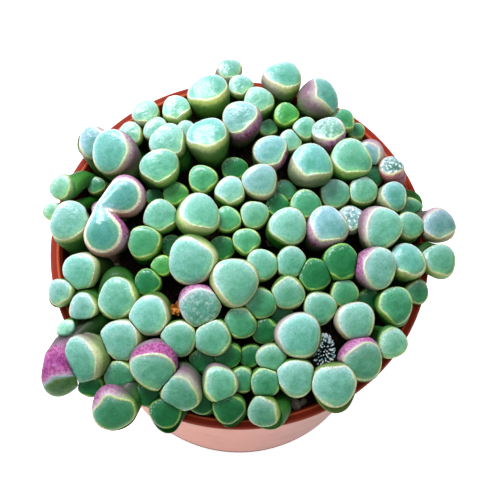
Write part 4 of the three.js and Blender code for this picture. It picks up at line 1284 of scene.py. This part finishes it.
# The rim's place wobbles a little, and further down the flank it wobbles more
swing = add(skin, "Math", MINUS, {0: sockets["wobble"], 1: 0.5})
sockets["below"] = add(skin, "Math", TIMES, {0: sockets["from_rim"], 1: -1})
sockets["place"] = add(skin, "Math", TIMES_PLUS, {0: swing, 1: 0.8, 2: sockets["from_rim"]})
sockets["uneven"] = add(skin, "Math", TIMES_PLUS, {0: swing, 1: 1.6, 2: sockets["below"]})
shifted = add(skin, "Math", PLUS, {0: sockets["place"], 1: 0.14})
sockets["from_line"] = add(skin, "Math", {"operation": "ABSOLUTE"}, {0: shifted})
print("values for the skin", len(sockets))

# %% [markdown]
# ## Masks
# Each mask takes one value and runs smoothly from its first to its second place, which may be the
# smaller one. The last two numbers are how strong it is at either end.

# %% Masks of the leaf skin
MASKS = {
    # Masks that read the sheen value paint light and shade by side: shady_front, shaded_side, lit_window,
    # shaded_rim, lit_rim and lit_flank. pale_edge and pale_clouds shape the painted sheen, and glinting gives
    # painted highlights.
    # Over the window
    "shady_front": ("frost", 0.5, 0, 0, 1),
    "outer_window": ("from_rim", 3, 0.3, 0, 0.8),
    "inner_window": ("from_rim", 0.5, 2.4, 0, 0.85),
    "shaded_side": ("frost", 0.8, 0.1, 0.35, 1),
    "soft_spots": ("spots", 0.3, 0.65, 0.7, 1),
    "pale_edge": ("from_rim", 2, 0.2, 0, 1),
    "pale_clouds": ("clouds", 0.4, 0.7, 0, 0.3),
    "mottled": ("mottle", 0.35, 0.65, 0, 0.2),
    "window_grain": ("grain", 0.5, 0.34, 0, 0.3),
    "glinting": ("flecks", 0.57, 0.64, 0, 0.45),
    "lit_window": ("frost", 0.4, 0.8, 0, 1),
    "glint_edge": ("from_rim", 2.2, 0.5, 0, 1),
    "crazed": ("crackle", 0.5, 0.62, 0, 1),
    "cracked": ("crackle", 0.42, 0.34, 0, 0.8),
    "pitted": ("pits", 0.34, 0.26, 0, 0.5),
    "edge_glow": ("from_rim", 0.7, 0.1, 0, 0.3),
    # Along the rim
    "shaded_rim": ("frost", 0.65, 0.1, 0, 1),
    "rim_grain": ("grain", 0.54, 0.38, 0, 0.45),
    "lit_rim": ("frost", 0.45, 0.95, 0, 0.35),
    "rim_line": ("from_line", 0.47, 0.25, 0, 0.95),
    "line_breaks": ("breaks", 0.25, 0.45, 0, 1),
    # Down the flank
    "on_window": ("place", -0.1, 0.1, 0, 1),
    "toward_stem": ("uneven", 0.7, 2.8, 0, 1),
    "toward_rim": ("uneven", 0.7, -0.1, 0, 1),
    "deep_down": ("below", 5, 14, 0, 1),
    "dotted": ("pores", 0.54, 0.7, 0, 0.35),
    "upper_flank": ("below", 3, 0.4, 0, 1),
    "lit_flank": ("frost", 0.45, 0.95, 0, 0.9),
    # Where the sun flushes it
    "lower_flush": ("uneven", 0.2, 3, 0, 1),
    "strong_flush": ("flush", 0.6, 1.3, 0, 1),
    "fullest_flush": ("flush", 1.3, 2, 0, 1),
    "broken_flush": ("flecks", 0.05, 0.4, 0, 1),
    "streaked": ("streaks", 0.46, 0.6, 0, 0.75),
    "streaked_flush": ("flush", 0.35, 1, 0, 1),
    "under_rim": ("below", 0.2, 1.4, 0, 1),
}
for name, (source, start, end, least, most) in MASKS.items():
    sockets[name] = add(skin, "MapRange", SMOOTH, {"Value": sockets[source], "From Min": start,
                                                   "From Max": end, "To Min": least, "To Max": most})
# Painted sheen: a pale layer of painted light over the window, strongest near the rim and in soft clouds.
pale = add(skin, "Math", PLUS, {0: sockets["pale_edge"], 1: sockets["pale_clouds"]})
veiled = add(skin, "Math", TIMES, {0: sockets["veil"], 1: pale})
sockets["veiled"] = add(skin, "MapRange", None, {"Value": veiled, "To Max": 0.4})
print(len(MASKS) + 1, "masks")

# %% [markdown]
# ## Layers of colour
# The eye sees a green window with a painted pale sheen and painted glints, a pale crackled rim, and a
# softly graded flank that goes from cream to deep green and flushes pink in the sun. Window, rim and
# flank are also painted lighter or darker by side, as painted light and shade. A layer either covers
# what is under it or tints it, as far as its masks let it.

# %% Colours of the leaf skin
# The middle of the window is darker where it is deepest, and darker still on the side away from the light as
# painted shade. The flank far down is darker green, partly its own colour and partly painted shade deep in
# the clump.
DEEPER_WINDOW = "#94C4A8"
DEEPER_STEM = "#78CC6C"


def lay(colour, layers):
    """Lays colours over a first one; a layer is how it mixes, its colour and its masks' names."""
    for mixing, over, *through in layers:
        factor = sockets[through[0]]
        for name in through[1:]:
            factor = add(skin, "Math", TIMES, {0: factor, 1: sockets[name]})
        colour = add(skin, "Mix", mixing, {FACTOR: factor, UNDER: colour, OVER: over}, RESULT)
    return colour


window, stem, rim = [sockets[name] for name in ("window_colour", "stem_colour", "rim_colour")]
deeper_window = add(skin, "Mix", TINTED, {FACTOR: 1, UNDER: window, OVER: DEEPER_WINDOW}, RESULT)
deeper_stem = add(skin, "Mix", TINTED, {FACTOR: 1, UNDER: stem, OVER: DEEPER_STEM}, RESULT)
window = lay(window, [
    # Painted shade: the front edge of the window, away from the light, is tinted yellow green.
    (TINTED, "#D2E49C", "shady_front", "outer_window"),
    # Darker in the middle, where the window is deepest, and more so on the side away from the light, as
    # painted shade.
    (MIXED, deeper_window, "inner_window", "shaded_side", "soft_spots"),
    # Painted sheen: a pale layer of painted light.
    (MIXED, "#DCE2EC", "veiled"),
    (TINTED, "#A4CCB4", "mottled"),
    (TINTED, "#86B4A0", "window_grain"),
    # Painted highlights: small white glints near the rim on the lit side.
    (MIXED, "#F0FFFC", "glinting", "lit_window", "glint_edge"),
    (MIXED, "#F2FCFA", "rough", "crazed"),
    (MIXED, "#3C6A66", "rough", "cracked"),
    (TINTED, "#7CA494", "pitted"),
    (MIXED, rim, "edge_glow"),
])
rim = lay(rim, [
    # Painted light on the rim: a lime tint on the side away from the light, and darker on the lit side.
    (TINTED, "#F4F6CE", "shaded_rim"),
    (TINTED, "#B4B08C", "rim_grain"),
    (TINTED, "#A8C4B8", "lit_rim"),
])
flank = lay(sockets["flank_colour"], [
    (MIXED, stem, "toward_stem"),
    (MIXED, rim, "toward_rim"),
    # Darker green far down the flank: partly the stem's own colour, partly painted shade deep in the clump.
    (MIXED, deeper_stem, "deep_down"),
    (MIXED, "#E8ECC8", "dotted", "upper_flank"),
    # Painted shade: the flank is painted darker on its lit side.
    (TINTED, "#88A27E", "lit_flank"),
])
pink = lay("#E2C0D8", [
    (MIXED, "#A87096", "lower_flush"),
    (MIXED, "#B8609A", "strong_flush"),
    (MIXED, "#963A82", "fullest_flush"),
    (TINTED, "#B0609C", "streaked", "streaked_flush", "under_rim"),
])
skin_colour = lay(flank, [
    (MIXED, window, "on_window"),
    (MIXED, pink, "flush", "broken_flush"),
    (MIXED, rim, "rim_line", "line_breaks"),
])
print("nodes so far", len(skin.node_tree.nodes))

# %% [markdown]
# ## Wax and relief
# Leaf wax bends light about as much as any plant wax, an IOR of 1.42. The eye sees satin on the flank,
# a smoother window, a thin coat over both, and light that goes a millimetre or two into the skin and
# softens it.

# %% Wax and relief
FLANK_ROUGHNESS = 0.6
WINDOW_ROUGHNESS = 0.19

bumpy = add(skin, "Math", PLUS, {0: sockets["rough"], 1: 0.7})
height = add(skin, "Math", TIMES, {0: sockets["relief"], 1: bumpy})
relief = add(skin, "Bump", None, {"Strength": 0.5, "Distance": 0.5 * MM, "Height": height})
roughness = add(skin, "MapRange", None, {"Value": sockets["from_rim"], "From Min": -0.2, "From Max": 0.2,
                                         "To Min": FLANK_ROUGHNESS, "To Max": WINDOW_ROUGHNESS})
shader = add(skin, "BsdfPrincipled", None, {
    "Base Color": skin_colour, "Normal": relief, "Roughness": roughness, "IOR": 1.42,
    "Specular IOR Level": 0.45, "Subsurface Weight": 0.06, "Subsurface Radius": (0.8, 1.0, 0.5),
    "Subsurface Scale": 1.5 * MM, "Coat Weight": 0.1, "Coat Roughness": 0.12})
add(skin, "OutputMaterial", None, {"Surface": shader})
for crown, rosette in zip(crowns, rosettes):
    dress(rosette, skin, crown["name"])
print(skin.name, len(skin.node_tree.nodes), "nodes")

# %% [markdown]
# ## The pot
# A thin injection-moulded plastic pot: a tapered wall, a flat flanged lip and eight drainage holes.
# Its profile is followed by extruding a circle ring by ring, and the holes are cut with a boolean.

# %% Rings


def turn_rings(name, sides, rings):
    """Extrudes a circle through (radius, height) rings in millimetres and closes both ends."""
    bpy.ops.object.select_all(action="DESELECT")
    radius, height = rings[0]
    bpy.ops.mesh.primitive_circle_add(vertices=sides, radius=radius * MM, fill_type="NOTHING",
                                      location=(0, 0, height * MM))
    turned = bpy.context.object
    turned.name = name
    bpy.ops.object.transform_apply(location=True)
    bpy.ops.object.mode_set(mode="EDIT")
    bpy.ops.mesh.select_all(action="SELECT")
    for next_radius, next_height in rings[1:]:
        move = (0, 0, (next_height - height) * MM)
        bpy.ops.mesh.extrude_region_move(TRANSFORM_OT_translate={"value": move})
        share = next_radius / radius
        bpy.ops.transform.resize(value=(share, share, 1))
        radius, height = next_radius, next_height
    bpy.ops.mesh.merge(type="CENTER")
    bpy.ops.mesh.select_all(action="DESELECT")
    bpy.ops.mesh.select_non_manifold()
    bpy.ops.mesh.edge_face_add()
    bpy.ops.mesh.select_all(action="SELECT")
    bpy.ops.mesh.normals_make_consistent(inside=False)
    bpy.ops.object.mode_set(mode="OBJECT")
    return turned


print("rings:", turn_rings.__doc__)

# %% [markdown]
# ## The pot's profile
# The rings go up the outside from the foot, over the flat lip, and down the inside to the floor. A
# narrow bevel rounds the edges, as a mould does.

# %% Pot
POT_SIDES = 144
FOOT_EDGE = 1
MIDDLE_HEIGHT = 30
FLOOR_ROUND = 1.5
LIP_ROUND = 0.5
FLOOR_MIDDLE = 2
MOULD_EDGE = 0.3

inner_floor = float(wall_inner(FLOOR + FLOOR_ROUND))
pot = turn_rings("moulded_pot", POT_SIDES, [
    (BASE_RADIUS - FOOT_EDGE, 0),
    (BASE_RADIUS, FOOT_EDGE),
    (float(wall_outer(MIDDLE_HEIGHT)), MIDDLE_HEIGHT),
    (float(wall_outer(UNDER_LIP)), UNDER_LIP),
    (LIP_RADIUS - 0.3, UNDER_LIP + 0.1),
    (LIP_RADIUS, POT_HEIGHT - LIP_ROUND),
    (LIP_RADIUS - LIP_ROUND, POT_HEIGHT),
    (LIP_INNER, POT_HEIGHT),
    (float(wall_inner(UNDER_LIP)), UNDER_LIP),
    (float(wall_inner(MIDDLE_HEIGHT)), MIDDLE_HEIGHT),
    (inner_floor, FLOOR + FLOOR_ROUND),
    (inner_floor - FLOOR_ROUND, FLOOR),
    (FLOOR_MIDDLE, FLOOR),
])
use(pot, "BEVEL", width=MOULD_EDGE * MM, segments=3, limit_method="ANGLE", angle_limit=math.radians(25))
print("pot before its holes", len(pot.data.polygons), "faces")

# %% [markdown]
# ## Drainage holes
# Eight holes let water out of the floor. Eight cylinders stand where the holes will be, are joined
# into one drill, and a boolean takes the drill away from the pot.

# %% Drainage holes
DRILL_LENGTH = 8
DRILL_SIDES = 40

drills = []
for hole in range(DRAIN_COUNT):
    angle = (hole + 0.5) * 2 * math.pi / DRAIN_COUNT
    at = (DRAIN_RING * math.cos(angle) * MM, DRAIN_RING * math.sin(angle) * MM, 0)
    bpy.ops.mesh.primitive_cylinder_add(vertices=DRILL_SIDES, radius=DRAIN_RADIUS * MM,
                                        depth=DRILL_LENGTH * MM, location=at)
    drills.append(bpy.context.object)
drill = join_all("drill", drills)
use(pot, "BOOLEAN", operation="DIFFERENCE", solver="EXACT", object=drill)
bpy.data.objects.remove(drill)
bpy.ops.object.shade_smooth_by_angle(angle=math.radians(32))
print("pot", len(pot.data.polygons), "faces", [round(x / MM, 1) for x in pot.dimensions])

# %% [markdown]
# ## Where the outer wall is painted paler
# The outer wall is painted paler than the lip and the inside, as painted light standing in for the
# light that falls on it. The outer wall is found by its distance from the axis, with the taper taken away.

# %% Where the outer wall is painted paler
plastic = new_material("moulded_polypropylene")
spot = add(plastic, "TexCoord", output="Object")
across, height = [add(plastic, "SeparateXYZ", None, {0: spot}, output) for output in ("X", "Z")]
flat = add(plastic, "VectorMath", TIMES, {0: spot, 1: (1, 1, 0)})
radius = add(plastic, "VectorMath", {"operation": "LENGTH"}, {0: flat}, "Value")
taper = (float(wall_outer(UNDER_LIP)) - BASE_RADIUS) / UNDER_LIP
lean = add(plastic, "Math", TIMES, {0: height, 1: taper})
straight = add(plastic, "Math", MINUS, {0: radius, 1: lean})
outer = add(plastic, "MapRange", None, {"Value": straight, "From Min": (BASE_RADIUS - 0.8) * MM,
                                        "From Max": (BASE_RADIUS - 0.4) * MM})
under = add(plastic, "MapRange", None, {"Value": height, "From Min": (UNDER_LIP + 0.05) * MM,
                                        "From Max": (UNDER_LIP - 0.25) * MM})
wall = add(plastic, "Math", TIMES, {0: outer, 1: under})
print("wall leans out", round(taper, 3), "mm per mm")

# %% [markdown]
# ## Pot plastic
# Coloured polypropylene straight from the injection mould. The eye sees a soft satin gloss, brick red
# on the lip, with a painted highlight line near its inner edge, and inside, painted darker towards the
# floor as painted shade. The outer wall is chalky pink, painted paler than the lip as if lit, with a few
# faint smudges a centimetre wide, greyer to the right as painted shade, and dark brown round the foot.

# %% Pot plastic
SMUDGE_SIZE = 9
# Painted light: the outer wall is painted a paler pink than the lip and the inside, as if lit, with faint
# smudges.
PAINTED_LIT_WALL = [(0.28, "#C68A7A"), (0.42, "#D69484"), (0.7, "#DA9888")]
# Painted shade: the inside darkens towards the floor.
INSIDE_PAINTED_SHADE = [(0.0, "#3E110B"), (0.75, "#742616"), (1.0, "#932D1B")]
# Painted highlight: a bright line near the lip's inner edge, and a lighter outer edge.
LIP_HIGHLIGHT_RING = [(0.0, "#742616"), (0.1, "#D2603E"), (0.24, "#D2603E"), (0.34, "#8C2A19"), (0.7, "#8C2A19"),
            (0.9, "#A24A38")]

smudge = add(plastic, "TexNoise", None, {"Vector": spot, "Scale": 1 / (SMUDGE_SIZE * MM), "Detail": 4})
painted_lit_wall = add(plastic, "ValToRGB", {"stops": PAINTED_LIT_WALL}, {"Fac": smudge})
high = add(plastic, "MapRange", None, {"Value": height, "From Min": 60 * MM, "From Max": 74 * MM})
inside = add(plastic, "ValToRGB", {"stops": INSIDE_PAINTED_SHADE}, {"Fac": high})
over_lip = add(plastic, "MapRange", None, {"Value": radius, "From Min": (LIP_INNER - 0.4) * MM,
                                           "From Max": LIP_RADIUS * MM})
lip_highlight_ring = add(plastic, "ValToRGB", {"stops": LIP_HIGHLIGHT_RING}, {"Fac": over_lip})
on_lip = add(plastic, "MapRange", None, {"Value": height, "From Min": (POT_HEIGHT - 1.3) * MM,
                                         "From Max": (POT_HEIGHT - 0.5) * MM})
red = add(plastic, "Mix", MIXED, {FACTOR: on_lip, UNDER: inside, OVER: lip_highlight_ring}, RESULT)
# Painted shade: the outer wall turns greyer towards the right.
painted_shade_right = add(plastic, "MapRange", SMOOTH, {"Value": across, "From Min": -6 * MM, "From Max": 40 * MM,
                                         "To Max": 0.95})
painted_lit_wall = add(plastic, "Mix", TINTED, {FACTOR: painted_shade_right, UNDER: painted_lit_wall, OVER: "#C8E6F2"}, RESULT)
foot = add(plastic, "MapRange", None, {"Value": height, "From Min": 5.0 * MM, "From Max": 4.2 * MM})
painted_lit_wall = add(plastic, "Mix", MIXED, {FACTOR: foot, UNDER: painted_lit_wall, OVER: "#84503F"}, RESULT)
colour = add(plastic, "Mix", MIXED, {FACTOR: wall, UNDER: red, OVER: painted_lit_wall}, RESULT)
shader = add(plastic, "BsdfPrincipled", None, {"Base Color": colour, "IOR": 1.49, "Roughness": 0.5,
                                               "Specular IOR Level": 0.06})
add(plastic, "OutputMaterial", None, {"Surface": shader})
dress(pot, plastic, "pot")
print(plastic.name, len(plastic.node_tree.nodes), "nodes")

# %% [markdown]
# ## Soil
# Dark peaty potting soil. Its top is a shallow dome of crumbs with a few pale stones, seen only as
# dark gaps between the leaves, so rings with noise and some loose crumbs are enough.

# %% Soil
SOIL_SIDES = 96
SOIL_RINGS = 28
RING_STEP = 0.035
SOIL_FOOT = 1.2
CLOD = 2.4
CLOD_HEIGHT = 0.7

soil_low, soil_high = [np.array(corner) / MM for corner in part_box("soil")]
soil_edge = float(soil_high[0])
rings = [(float(wall_inner(soil_low[2])) - SOIL_FOOT, soil_low[2]),
         (float(wall_inner(soil_low[2] + 1)) - CLEARANCE, soil_low[2] + 1)]
rings += [(soil_edge * share, float(soil_top(soil_edge * share)))
          for share in [1, 0.985] + [1 - RING_STEP * i for i in range(1, SOIL_RINGS)]]
soil = turn_rings("potting_soil", SOIL_SIDES, rings)
where = corners(soil) / MM
on_top = (outward(where) < soil_edge - 0.2) & (where[:, 2] > soil_low[2] + 2)
clods = np.array([noise.fractal(Vector(point) / CLOD, 1.0, 2.1, 3) for point in where])
where[:, 2] += np.where(on_top, clods * CLOD_HEIGHT - 0.2, 0)
reshape(soil, where)
pick(soil)
bpy.ops.object.shade_smooth()
print("soil", len(soil.data.polygons), "faces")

# %% [markdown]
# ## Crumbs and stones
# One crumb is modelled, a subdivided cube rounded almost to a ball. Its copies are dented, stretched
# and turned at random, strewn over the soil, and five larger ones are the pale stones. A stone is
# named by its place in the picture and its radius.

# %% Crumbs and stones
STONES = [[203, 412, 1.5], [295, 404, 1.5], [303, 402, 1.1], [118, 268, 1.2], [270, 244, 1.1]]
STONE_HEIGHT = 66.5
STONE_RISE = 0.3
CRUMBS = 420
CRUMB_SIZES = (0.35, 1.0)
DENT = 0.22
STRETCHES = (0.6, 1.1)

bpy.ops.object.select_all(action="DESELECT")
bpy.ops.mesh.primitive_cube_add(size=2)
crumb_master = bpy.context.object
crumb_master.name = "crumb"
bpy.ops.object.mode_set(mode="EDIT")
bpy.ops.mesh.subdivide(number_cuts=1)
bpy.ops.transform.tosphere(value=0.8)
bpy.ops.mesh.faces_shade_smooth()
bpy.ops.object.mode_set(mode="OBJECT")
crumb_shape = corners(crumb_master)


def scatter(place, size):
    """One dented, turned copy of the crumb at a place in millimetres."""
    turn = np.array(Euler(rng.uniform(0, 6.28, 3)).to_matrix())
    dents = 1 + rng.uniform(-DENT, DENT, len(crumb_shape))
    shape = (crumb_shape * dents[:, None] * size * rng.uniform(*STRETCHES, 3)) @ turn.T
    return copy_to(crumb_master, shape + place)


crumbs = []
for _ in range(CRUMBS):
    radius = (soil_edge - 1.5) * math.sqrt(rng.uniform())
    angle = rng.uniform(0, 2 * math.pi)
    at = np.array([radius * math.cos(angle), radius * math.sin(angle), float(soil_top(radius))])
    crumbs.append(scatter(at, rng.uniform(*CRUMB_SIZES)))
soil = join_all("potting_soil", [soil] + crumbs)
stones = []
for across, down, size in STONES:
    at = sight_point(across, down, STONE_HEIGHT)
    at[2] = float(soil_top(outward(at))) + STONE_RISE
    stones.append(scatter(at, size))
stones = join_all("pale_stones", stones)
bpy.data.objects.remove(crumb_master)
print("crumbs and stones", len(soil.data.polygons), len(stones.data.polygons))

# %% [markdown]
# ## Grainy finishes
# Peat, grit and dried petals are all matt and grainy, so one recipe serves them with their own
# colours: one grain gives both the colour, through a ramp, and the relief.

# %% Soil and stone finishes
PEAT = [(0.3, "#140D0A"), (0.55, "#3A2A20"), (0.75, "#6C5444")]
GRIT = [(0.3, "#8E8474"), (0.7, "#CFC6B4")]


def grainy(name, stops, roughness, size_mm):
    """A matt material whose grain, of this size, goes through the colours and stands out a little."""
    material = new_material(name)
    spot = add(material, "TexCoord", output="Object")
    grain = add(material, "TexNoise", None, {"Vector": spot, "Scale": 1 / (size_mm * MM), "Detail": 6,
                                             "Roughness": 0.7})
    colour = add(material, "ValToRGB", {"stops": stops}, {"Fac": grain})
    relief = add(material, "Bump", None, {"Strength": 0.8, "Distance": 0.3 * MM, "Height": grain})
    shader = add(material, "BsdfPrincipled", None, {"Base Color": colour, "Normal": relief,
                 "Roughness": roughness, "Specular IOR Level": 0.25})
    add(material, "OutputMaterial", None, {"Surface": shader})
    return material


# Sieved peat, damp: the eye sees nearly black gaps. Crushed limestone grit: chalky specks.
dress(soil, grainy("damp_potting_soil", PEAT, 0.95, 1.1), "soil")
dress(stones, grainy("chalky_grit", GRIT, 0.85, 0.8), "soil")
print("soil edge, mm", round(soil_edge, 1))

# %% [markdown]
# ## The dried floret
# One spent flower has dried on its stalk, and its shrivelled petals droop. One petal is modelled as a
# thin sheet, and each copy is curled, twisted and turned in its own way.

# %% Petals
PETAL_COUNT = 16
PETAL_TURN = 2.4
PETAL_THICKNESS = 0.12
PETAL_HALF = 0.62
PETAL_CURL = 0.5
PETAL_SINK = 0.9
PETAL_RISE = 0.2
PETAL_LENGTHS = (0.5, 0.72)
PETAL_DROOPS = (-0.5, 1.0)
PETAL_TWIST = 1.2

top = floret["head"]
foot = floret["foot"]
bpy.ops.object.select_all(action="DESELECT")
bpy.ops.mesh.primitive_grid_add(x_subdivisions=4, y_subdivisions=8, size=1)
petal_master = bpy.context.object
use(petal_master, "SOLIDIFY", thickness=PETAL_THICKNESS, offset=0)
bpy.ops.object.shade_smooth()
petal_shape = corners(petal_master)
along = petal_shape[:, 1] + 0.5
half = PETAL_HALF * np.sin(np.pi * np.clip(along * 0.9 + 0.08, 0, 1)) ** 0.6
side = petal_shape[:, 0] * 2 * half
curl = PETAL_CURL * (petal_shape[:, 0] * 2) ** 2 * half
petals = []
for i in range(PETAL_COUNT):
    length = FLORET["width"] * rng.uniform(*PETAL_LENGTHS)
    droop = rng.uniform(*PETAL_DROOPS)
    twist = rng.uniform(-PETAL_TWIST, PETAL_TWIST)
    x = length * along * np.cos(droop * along)
    y = side * np.cos(twist * along)
    z = length * along * np.sin(droop * along) * PETAL_SINK + curl + petal_shape[:, 2]
    z += side * np.sin(twist * along)
    angle = i * PETAL_TURN
    turned_x = x * math.cos(angle) - y * math.sin(angle)
    turned_y = x * math.sin(angle) + y * math.cos(angle)
    shape = np.stack([turned_x, turned_y, z], 1)
    petals.append(copy_to(petal_master, shape + top + [0, 0, PETAL_RISE]))
bpy.data.objects.remove(petal_master)
print(len(petals), "petals")

# %% [markdown]
# ## The stalk
# The stalk is a slender turned rod that opens into a small cup under the petals, and it bows a little.
# Dried petals are papery: the eye sees them matt, with a fine grain from dark brown to straw.

# %% Stalk
STALK_SIDES = 12
DRIED = [(0.25, "#6A3A16"), (0.5, "#B8732A"), (0.75, "#E0A050")]
STALK_WAIST = 0.85
STALK_BOW = 0.3
thick, wide = FLORET["stalk"], FLORET["width"]
stalk = turn_rings("stalk", STALK_SIDES, [
    (thick, foot[2]),
    (thick * STALK_WAIST, (foot[2] + top[2]) / 2),
    (thick, top[2] - 1),
    (wide * 0.22, top[2] - 0.3),
    (wide * 0.28, top[2] + 0.4),
    (wide * 0.14, top[2] + 0.9),
])
where = corners(stalk) / MM
bow = np.sin(np.pi * np.clip((where[:, 2] - foot[2]) / (top[2] - foot[2]), 0, 1)) * STALK_BOW
reshape(stalk, where + np.stack([top[0] + bow, top[1] + bow, np.zeros(len(bow))], 1))
flower = join_all("dried_flower", [stalk] + petals)
bpy.ops.object.shade_smooth()
dress(flower, grainy("papery_dried_petal", DRIED, 0.7, 0.7), "dried_floret")
print("flower", len(flower.data.polygons), "faces")

# %% [markdown]
# ## The spiky cushion
# A tiny cushion of bluish, bristly leaves fills one gap. It is a squashed ball that bristles with thin
# tapered spikes: one spike is modelled and copied over the ball on a sunflower spiral.

# %% Spiky cushion
SPIKE_COUNT = 110
BALL_SHARE = 0.92
SEAT_SHARE = 0.88
SPIKE_WIDTH = 0.22
SPIKE_LENGTHS = (0.8, 1.15)
SPIKE_LEAN = 0.2
LOWEST_SPIKE = 0.2
SPIKE_SPAN = 0.79
TIP_SHARES = (0.35, 1.0)

feet = (cushion_ends[0]["foot"] + cushion_ends[1]["foot"]) / 2
half = np.array([CUSHION["width"] / 2, CUSHION["length"] / 2, cushion_ends[0]["head"][2] - feet[2]])
bpy.ops.object.select_all(action="DESELECT")
bpy.ops.mesh.primitive_uv_sphere_add(segments=24, ring_count=12, radius=1)
ball = bpy.context.object
bpy.ops.object.mode_set(mode="EDIT")
bpy.ops.mesh.bisect(plane_co=(0, 0, 0), plane_no=(0, 0, 1), clear_inner=True, use_fill=True)
bpy.ops.mesh.faces_shade_smooth()
bpy.ops.object.mode_set(mode="OBJECT")
reshape(ball, corners(ball) * half * BALL_SHARE + feet)
bpy.ops.object.select_all(action="DESELECT")
bpy.ops.mesh.primitive_cone_add(vertices=5, radius1=0.6, radius2=0.9, depth=1, location=(0, 0, 0.5))
spike_master = bpy.context.object
bpy.ops.object.transform_apply(location=True)
bpy.ops.object.shade_smooth()
spike_shape = corners(spike_master)
spikes = []
for i in range(SPIKE_COUNT):
    up = LOWEST_SPIKE + SPIKE_SPAN * (i + 0.5) / SPIKE_COUNT
    turn = i * GOLDEN_TURN
    flat = math.sqrt(1 - up * up)
    on_ball = np.array([flat * math.cos(turn), flat * math.sin(turn), up])
    normal = unit(on_ball + rng.uniform(-SPIKE_LEAN, SPIKE_LEAN, 3))
    turned = np.array(Vector((0, 0, 1)).rotation_difference(Vector(normal)).to_matrix())
    size = np.array([SPIKE_WIDTH, SPIKE_WIDTH, CUSHION["spike"] * rng.uniform(*SPIKE_LENGTHS)])
    copy = copy_to(spike_master, (spike_shape * size) @ turned.T + on_ball * half * SEAT_SHARE + feet)
    write_values(copy, "tip", "FLOAT", "value", spike_shape[:, 2] * rng.uniform(*TIP_SHARES))
    spikes.append(copy)
bpy.data.objects.remove(spike_master)
ball.data.attributes.new("tip", "FLOAT", "POINT")
cushion = join_all("bristly_cushion", [ball] + spikes)
print("cushion", len(cushion.data.polygons), "faces")

# %% [markdown]
# ## Bristles
# Tiny succulent bristles are painted nearly black at the root, and the ball under them too, as painted
# shade, then bluish green and frosted white at the tips, which get a faint painted glow from emission.

# %% Bristle finish
BRISTLE_GLOW_AND_SHADE = [(0.0, "#020403"), (0.26, "#16342E"), (0.44, "#A6D6E0"), (0.66, "#FFFFFA")]
bristle = new_material("bristle_with_painted_glow")
tip = add(bristle, "Attribute", {"attribute_name": "tip"}, output="Fac")
colour = add(bristle, "ValToRGB", {"stops": BRISTLE_GLOW_AND_SHADE}, {"Fac": tip})
# Painted glow: the bristles' own colour is also emitted, so the white tips glow a little.
shader = add(bristle, "BsdfPrincipled", None, {"Base Color": colour, "Emission Color": colour,
                                               "Roughness": 0.5, "Emission Strength": 0.42})
add(bristle, "OutputMaterial", None, {"Surface": shader})
dress(cushion, bristle, "spiky_cushion")
print(bristle.name, len(bristle.node_tree.nodes), "nodes")

# %% [markdown]
# ## Floor
# A plain white floor that glows like a light table, so that it stays white round the pot's shadow.

# %% Floor
FLOOR_WIDTH = 4
FLOOR_BELOW = 0.1

bpy.ops.object.select_all(action="DESELECT")
bpy.ops.mesh.primitive_plane_add(size=FLOOR_WIDTH, location=(0, 0, -FLOOR_BELOW * MM))
floor = bpy.context.object
floor.name = "floor"
paper = new_material("white_light_table")
sheet = add(paper, "BsdfPrincipled", None, {
    "Base Color": "#F0F0F0", "Roughness": 0.9, "Specular IOR Level": 0.1, "Emission Color": "#FFFFFF",
    "Emission Strength": 0.85})
add(paper, "OutputMaterial", None, {"Surface": sheet})
floor.data.materials.append(paper)
print("floor", FLOOR_WIDTH, "m wide")

# %% [markdown]
# ## Light
# Soft studio light: a broad cool lamp behind on the left gives the windows their highlights, over the
# sheen that is painted into the leaf skin. A fill from above lifts the gaps and makes no highlights of
# its own, and pale air lights the rest.

# %% Lamps and air
LAMP_AIM = (0, 0, 0.07)


def lamp(name, place, size, power, colour):
    """A square soft box that faces the plant; places and sizes in metres."""
    bpy.ops.object.light_add(type="AREA", location=place)
    box = bpy.context.object
    box.name = name
    box.data.shape = "SQUARE"
    box.data.size = size
    box.data.energy = power
    box.data.color = linear(colour)[:3]
    box.rotation_euler = (Vector(place) - Vector(LAMP_AIM)).to_track_quat("Z", "Y").to_euler()
    return box


lamp("soft_box_back_left", (-0.22, 0.29, 0.53), 0.24, 4.5, "#F2F8FF")
fill = lamp("fill_above", (0.0, -0.1, 0.9), 0.5, 1.8, "#FFFFFF")
fill.visible_glossy = False
world = bpy.data.worlds.new("studio_air")
world.use_nodes = True
air = world.node_tree.nodes["Background"]
air.inputs["Color"].default_value = linear("#EEF4FF")
air.inputs["Strength"].default_value = 0.25
bpy.context.scene.world = world
bpy.context.scene.view_settings.view_transform = "Standard"

# %% [markdown]
